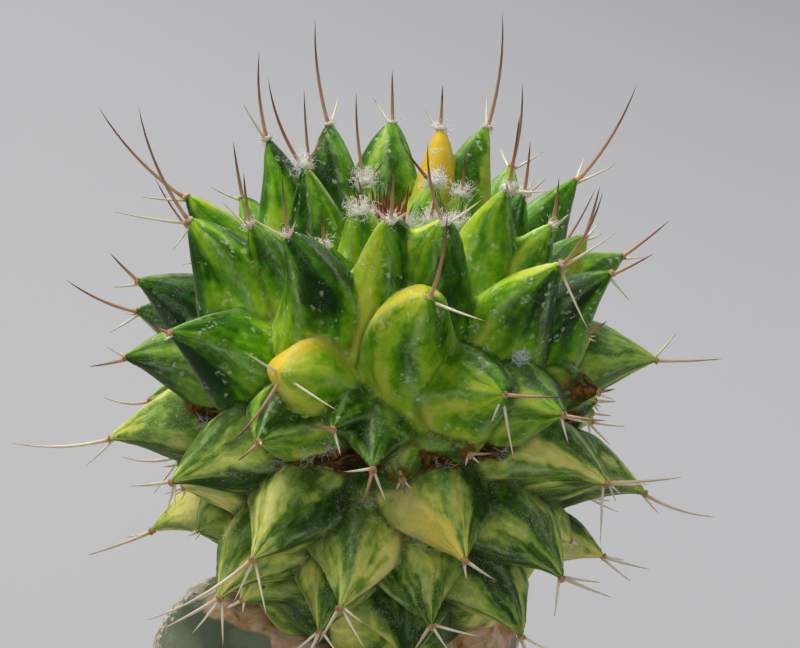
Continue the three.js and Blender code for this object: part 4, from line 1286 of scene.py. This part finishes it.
# Brown above the crease, and for the long ones at the crown reddish; cream for the short ones
brown = is_long * np.interp(spine_down, [38, 50], [1.0, 0.35])
brown = np.where((is_long == 0) & (spine_down < 12), 0.5, brown)


def per_tubercle(values):
    """One number for each shell, shaped to spread over its rings and sides."""
    return np.asarray(values)[:, None, None]


young = np.interp(spine_down, [8, 17], [1, 0])
t_spine = np.linspace(0, 0.99, SPINE_GRID["rings"])[None, :, None]
spines = make_shells(
    "spines", spine_grid, t=t_spine, brown=per_tubercle(brown), young=per_tubercle(young),
    pick=per_tubercle(draw(np.arange(len(spine_k)), 61)),
)

# Unspread spines at the growing point, too fine and close for the CAD solid: each stands on a small spiral
# round the bundle's middle and tilts the more the farther out it is
BUNDLE = {
    "count": 26, "middle": (3.0, 1.2, 139.8), "reach": 1.2, "length": 4.6, "tilt": 24.0, "radius": 0.15,
    "bend": 0.1,
}
bud_k = np.arange(BUNDLE["count"])
bud_out = np.sqrt((bud_k + 0.5) / BUNDLE["count"])
bud_azimuth = 2.4 * bud_k
bud_aside = heading(bud_azimuth, 0 * bud_azimuth) * bud_out[:, None]
bud_start = np.array(BUNDLE["middle"]) + BUNDLE["reach"] * bud_aside
bud_ahead = heading(bud_azimuth, np.radians(90 - BUNDLE["tilt"] * bud_out))
bud_length = BUNDLE["length"] * (0.5 + 0.8 * draw(bud_k, 63))
bud_each = np.ones(len(bud_k))
bud_radius = BUNDLE["radius"] * bud_each
bud_bend = BUNDLE["bend"] * bud_each
bud_over = np.tile([1.0, 0.3, 0.0], (len(bud_k), 1))
bud_grid = stalks(bud_start, bud_ahead, bud_length, bud_radius, bud_bend, bud_over, *SPINE_GRID.values())
bud_spines = make_shells(
    "bud_spines", bud_grid, t=t_spine, brown=per_tubercle(bud_each), young=per_tubercle(bud_each),
    pick=per_tubercle(0.6 + 0.4 * draw(bud_k, 64)),
)


# A spine is a hardened leaf without living tissue, like horn: smooth, satin and slightly clear. The long ones
# are brown with a nearly black tip, the short ones cream with an orange foot and tip.
def horn():
    material, tree, shader = new_material("horn")
    place = add(tree, "ShaderNodeTexCoord").outputs["Object"]
    t = attribute(tree, "t")
    pick = attribute(tree, "pick")
    mottle = between(tree, noise(tree, place, 1.2, detail=3.0), 0.3, 0.7, -0.05, 0.05)
    way = sums(tree, "ADD", t, mottle)
    browns = [(0.0, "#c87f38"), (0.12, "#c99c74"), (0.5, "#ad7f60"), (0.78, "#6a4230"), (0.94, "#1c1210")]
    creams = [(0.0, "#b5702f"), (0.1, "#d9c296"), (0.3, "#ebe5cd"), (0.8, "#e0d3b0"), (0.97, "#9c6a3c")]
    reds = [(0.0, "#cf7020"), (0.35, "#b5521b"), (0.7, "#7c3016"), (0.93, "#20100b")]
    amount = sums(tree, "ADD", attribute(tree, "brown"), between(tree, pick, 0, 1, -0.12, 0.12))
    colour = mix(tree, between(tree, amount, 0.1, 0.9), ramp(tree, way, creams), ramp(tree, way, browns))
    crown = sums(tree, "MULTIPLY", attribute(tree, "young"), between(tree, pick, 0.25, 0.6))
    colour = mix(tree, crown, colour, ramp(tree, way, reds))
    tree.links.new(colour, shader.inputs["Base Color"])
    shader.inputs["Roughness"].default_value = 0.42
    shader.inputs["Subsurface Weight"].default_value = 0.1
    shader.inputs["Subsurface Scale"].default_value = 0.4 * MM
    tree.links.new(bump(tree, noise(tree, place, 0.2, detail=2.0), 0.02), shader.inputs["Normal"])
    return material


horn_material = horn()
spines.data.materials.append(horn_material)
bud_spines.data.materials.append(horn_material)

# %% [markdown]
# The areole itself is a pad, 1.7 mm across on the youngest tubercles and half that on the old ones. It bears
# white wool, which wears off in a season and leaves a brownish felt.

# %% Areoles
# How far a pad's middle lies under the tip, in mm, and its thickness as a share of its width
PAD = {"sunk": 0.3, "flat": 0.5}
pad_size = np.interp(downs, [5, 14, 20, 30], [0.85, 0.75, 0.55, 0.42])
lift_pad = np.linspace(-1, 1, 8)[1:-1][None, :, None, None] * np.pi / 2
turn_pad = (2 * np.pi * np.arange(12) / 12)[None, None, :, None]
pad_half = pad_size[:, None, None, None]
pad_points = (
    (tips - PAD["sunk"] * axes)[:, None, None]
    + sidewise[:, None, None] * np.cos(lift_pad) * np.cos(turn_pad) * pad_half
    + upward[:, None, None] * np.cos(lift_pad) * np.sin(turn_pad) * pad_half
    + axes[:, None, None] * (np.sin(lift_pad) + 0 * turn_pad) * pad_half * PAD["flat"]
)
pads = make_shells("areoles", pad_points, worn=per_tubercle(np.interp(downs, [10, 30], [0, 1])))


# Felt of short plant hairs: matte and pale, soiled to tan with age
def felt():
    material, tree, shader = new_material("felt")
    place = add(tree, "ShaderNodeTexCoord").outputs["Object"]
    fine = noise(tree, place, 0.25, detail=3.0)
    fresh = ramp(tree, fine, [(0.3, "#ddd6c4"), (0.7, "#fbf9f2")])
    tan = ramp(tree, fine, [(0.3, "#8c5a30"), (0.7, "#d2ad82")])
    tree.links.new(mix(tree, attribute(tree, "worn"), fresh, tan), shader.inputs["Base Color"])
    shader.inputs["Roughness"].default_value = 0.95
    tree.links.new(bump(tree, fine, 0.1), shader.inputs["Normal"])
    return material


pads.data.materials.append(felt())

# %% [markdown]
# Wool is thousands of crimped hairs. Each hair here is a stalk with three sides. It is drawn about twice as
# thick as a real hair, because the photograph's pixels are a tenth of a millimetre wide. Tufts grow on the
# young areoles and in the axils, the grooves between tubercles, where the photograph shows them.

# %% Wool
# Tufts in the axils: azimuth, radius and height on the scion, spread, longest hair, hairs, share of tan
AXIL_TUFTS = [
    (308, 19.6, 14.6, 0.9, 1.9, 150, 0.0), (266, 17.2, 12.6, 0.7, 1.8, 40, 0.2),
    (254, 19.8, 6.9, 1.0, 2.6, 60, 0.15), (250, 22.4, 6.6, 0.8, 1.8, 40, 0.4),
    (264, 19.6, 1.2, 1.1, 2.0, 70, 0.75), (278, 23.4, -1.0, 1.0, 1.8, 60, 0.8),
    (271, 19.6, 5.6, 1.0, 2.6, 60, 0.6), (285, 19.2, 4.4, 1.2, 2.8, 70, 0.35),
    (292, 20.4, 6.8, 0.9, 2.4, 50, 0.25), (305, 19.2, 5.1, 1.0, 2.2, 50, 0.4),
    (228, 22.0, -3.4, 0.9, 1.8, 45, 0.7),
    (322, 21.0, 6.0, 0.9, 2.0, 40, 0.4), (240, 20.0, 4.6, 0.9, 2.0, 40, 0.5),
    (40, 19.6, 4.8, 1.0, 2.2, 45, 0.4), (95, 19.6, 4.8, 1.0, 2.2, 45, 0.4),
    (140, 19.6, 4.6, 1.0, 2.2, 45, 0.4), (205, 19.6, 4.8, 1.0, 2.2, 45, 0.4),
    (350, 19.6, 5.0, 1.0, 2.2, 45, 0.4),
]
# The wool at the growing point, and how far from the axis the crown's wool reaches
CROWN_WOOL = {"height": 21.4, "hairs": 900, "spread": 2.6, "longest": 1.2, "reach": 9.0}
# Half the thickness of a hair, and of an old one in the crease, and the strongest bend
HAIR = {"radius": 0.028, "old_radius": 0.019, "crimp": 1.6}


def tuft(centre, outward, count, spread_mm, longest, tan, seed):
    """Rows of hairs for one tuft: start, direction, length and tan share, spread as a bell over its base."""
    rng = np.random.default_rng(seed)
    start = centre + rng.normal(0, spread_mm * 0.42, (count, 3))
    direction = unit(outward + rng.normal(0, 0.7, (count, 3)))
    return start, direction, longest * rng.uniform(0.35, 1, count), np.full(count, tan)


tufts = []
for seed, (degrees, radius, height, spread_mm, longest, count, tan) in enumerate(AXIL_TUFTS):
    azimuth = np.radians(degrees)
    out = np.array([np.cos(azimuth), np.sin(azimuth), 0.25])
    centre = on_scion(azimuth, radius, height)
    tufts.append(tuft(centre, out, count, spread_mm, longest * 0.7, tan * 0.7, 100 + seed))
for k in numbers[downs < 24]:
    fresh = float(np.interp(downs[k], [4, 9, 14, 20], [1, 1, 0.5, 0.12]))
    base = tips[k] - PAD["sunk"] * axes[k]
    count = int(40 + 460 * fresh)
    tufts.append(tuft(base, axes[k] * 0.2, count, 0.6 + 0.7 * fresh, 0.6 + 0.4 * fresh, 0.0, 200 + k))
growing_point = on_scion(0.0, 0.0, CROWN_WOOL["height"])
straight_up = np.array([0, 0, 1.0])
crown_values = (CROWN_WOOL["hairs"], CROWN_WOOL["spread"], CROWN_WOOL["longest"])
tufts.append(tuft(growing_point, straight_up, *crown_values, 0.0, 300))

hair_start, hair_way, hair_length, hair_tan = (np.concatenate(parts) for parts in zip(*tufts))
hair_rng = np.random.default_rng(7)
hair_bend = hair_rng.uniform(-HAIR["crimp"], HAIR["crimp"], len(hair_start))
hair_over = unit(hair_rng.normal(0, 1, (len(hair_start), 3)))
hair_radius = np.where(hair_tan > 0.1, HAIR["old_radius"], HAIR["radius"])
hair_grid = stalks(hair_start, hair_way, hair_length, hair_radius, hair_bend, hair_over, 5, 3)
hair_worn = hair_tan + hair_rng.uniform(-0.05, 0.1, len(hair_tan))
# The wool at the crown is a piece of its own, because one piece for all would be too heavy a mesh
from_axis = np.hypot(hair_start[:, 0] - SCION["x"], hair_start[:, 1] - SCION["y"])
inner = from_axis < CROWN_WOOL["reach"]
crown_wool = make_shells("crown_wool", hair_grid[inner], worn=per_tubercle(hair_worn[inner]))
wool = make_shells("wool", hair_grid[~inner], worn=per_tubercle(hair_worn[~inner]))


# Plant wool: hollow dead hairs that scatter light, so it is white and without gloss. Old wool is tan.
def plant_wool():
    material, tree, shader = new_material("plant_wool")
    tone = attribute(tree, "worn")
    colour = ramp(tree, tone, [(0.0, "#fdfbf4"), (0.35, "#dcd6c0"), (0.8, "#b09f80"), (1.0, "#94805f")])
    tree.links.new(colour, shader.inputs["Base Color"])
    shader.inputs["Roughness"].default_value = 0.8
    shader.inputs["Sheen Weight"].default_value = 0.8
    shader.inputs["Subsurface Weight"].default_value = 0.3
    shader.inputs["Subsurface Scale"].default_value = 0.5 * MM
    return material


wool_material = plant_wool()
crown_wool.data.materials.append(wool_material)
wool.data.materials.append(wool_material)

# %% [markdown]
# A rest in growth left a crease under the upper half. Its skin has dried to thin brown cork that stands out a
# little between the tubercles, with a torn edge. It is a ring whose outer edge is cut by waves of several
# lengths round the plant.


# %% Dry skin in the crease
def crease_ring(height, reach, phase, sides=360):
    """A thin closed ring: its section is a flat loop of eight points that is tucked into the body, and its
    outer edge and height follow sums of waves round the plant."""
    azimuth = 2 * np.pi * np.arange(sides) / sides
    torn = 0.45 * np.sin(azimuth * 17 + phase) + 0.35 * np.sin(azimuth * 41 + 2 * phase)
    torn = torn + 0.25 * np.sin(azimuth * 89)
    level = height + 0.5 * np.sin(azimuth * 5 + phase) + 0.3 * np.sin(azimuth * 13 + 2 * phase)
    outer = CREASE["radius"] + reach + 0.6 * torn
    section = np.linspace(0, 2 * np.pi, 9)[:-1][:, None]
    middle = (CREASE["radius"] - CREASE["tuck"] + outer) / 2
    half = (outer - CREASE["radius"] + CREASE["tuck"]) / 2
    radius = middle + half * np.cos(section)
    curl = 0.35 * np.sin(azimuth * 29 + phase) * np.clip(np.cos(section), 0, 1)
    return on_scion(azimuth + 0 * section, radius, level + 0.16 * np.sin(section) + curl)


lips = [crease_ring(4.4, 0.5, 0.4), crease_ring(5.5, 0.7, 2.2)]
lip_points = np.concatenate([lip.reshape(-1, 3) for lip in lips])
lip_faces = grid_faces(2, *lips[0].shape[:2], loop=True)
crease_skin = make_mesh("crease_skin", lip_points, lip_faces)


# Cork: dead skin dried to brown, papery and cracked, orange where thin
def cork():
    material, tree, shader = new_material("cork")
    place = add(tree, "ShaderNodeTexCoord").outputs["Object"]
    dry = noise(tree, place, 1.3, detail=5.0, roughness=0.7, distortion=0.6)
    colour = ramp(tree, dry, [(0.3, "#1c1408"), (0.48, "#3f2c10"), (0.6, "#785124"), (0.75, "#b8925a")])
    tree.links.new(colour, shader.inputs["Base Color"])
    shader.inputs["Roughness"].default_value = 0.85
    tree.links.new(bump(tree, dry, 0.2), shader.inputs["Normal"])
    return material


crease_skin.data.materials.append(cork())

# %% [markdown]
# Last, the small spines on the rootstock, three to an areole and one areole to a rib, in the same horn.

# %% Spines of the rootstock
STEM_SPINE = {"length": 4.0, "radius": 0.28, "swing": 34.0, "rise": 18.0, "sunk": 1.0, "rings": 8}
stem_rows = []
for rib in range(3):
    azimuth = np.radians(STOCK["azimuth"] + 120 * rib)
    z = STOCK["widest"] - STOCK["notch"] / 2
    reach = rib_reach(z) - STEM_SPINE["sunk"]
    for turn in (-1, 0, 1):
        rise = np.radians(STEM_SPINE["rise"] + 10 * draw(rib, turn + 1))
        start = (reach * np.cos(azimuth), reach * np.sin(azimuth), z)
        stem_rows.append((*start, azimuth + turn * np.radians(STEM_SPINE["swing"]), rise))
stem_rows = np.array(stem_rows, float)
stem_ahead = heading(stem_rows[:, 3], stem_rows[:, 4])
count = len(stem_rows)
upright = np.tile([0.0, 0.0, 1.0], (count, 1))
stem_start = stem_rows[:, :3]
stem_length = np.full(count, STEM_SPINE["length"])
stem_radius = np.full(count, STEM_SPINE["radius"])
stem_bend = np.full(count, 0.05)
stem_rings, stem_sides = STEM_SPINE["rings"], SPINE_GRID["sides"]
stem_shape = (stem_length, stem_radius, stem_bend, upright, stem_rings, stem_sides)
stem_grid = stalks(stem_start, stem_ahead, *stem_shape, foot=0.5)
stem_t = np.linspace(0, 0.99, stem_rings)[None, :, None]
stem_spines = make_shells(
    "stem_spines", stem_grid, t=stem_t, brown=np.full((count, 1, 1), 0.8), young=np.zeros((count, 1, 1)),
    pick=per_tubercle(draw(np.arange(count), 62)),
)
stem_spines.data.materials.append(horn_material)

# %% [markdown]
# Every piece rides on the plant's one body, and the CAD solid that it stands for is hidden.

# %% Pieces and the solids that they stand for
PIECES = [
    (pot, "pot", "clay"), (stem, "rootstock", "rootstock_skin"), (stem_spines, "rootstock", "rootstock_skin"),
    (pebbles, "gravel", "gravel"), (chips, "gravel", "gravel"), (grit, "gravel", "gravel"),
    (skin, "scion", "scion_skin"), (spines, "scion", "scion_skin"), (bud_spines, "scion", "scion_skin"),
    (pads, "scion", "scion_skin"), (crown_wool, "scion", "scion_skin"), (wool, "scion", "scion_skin"),
    (crease_skin, "scion", "scion_skin"),
]
for piece, node, slot in PIECES:
    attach(piece, "root")
    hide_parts(node)
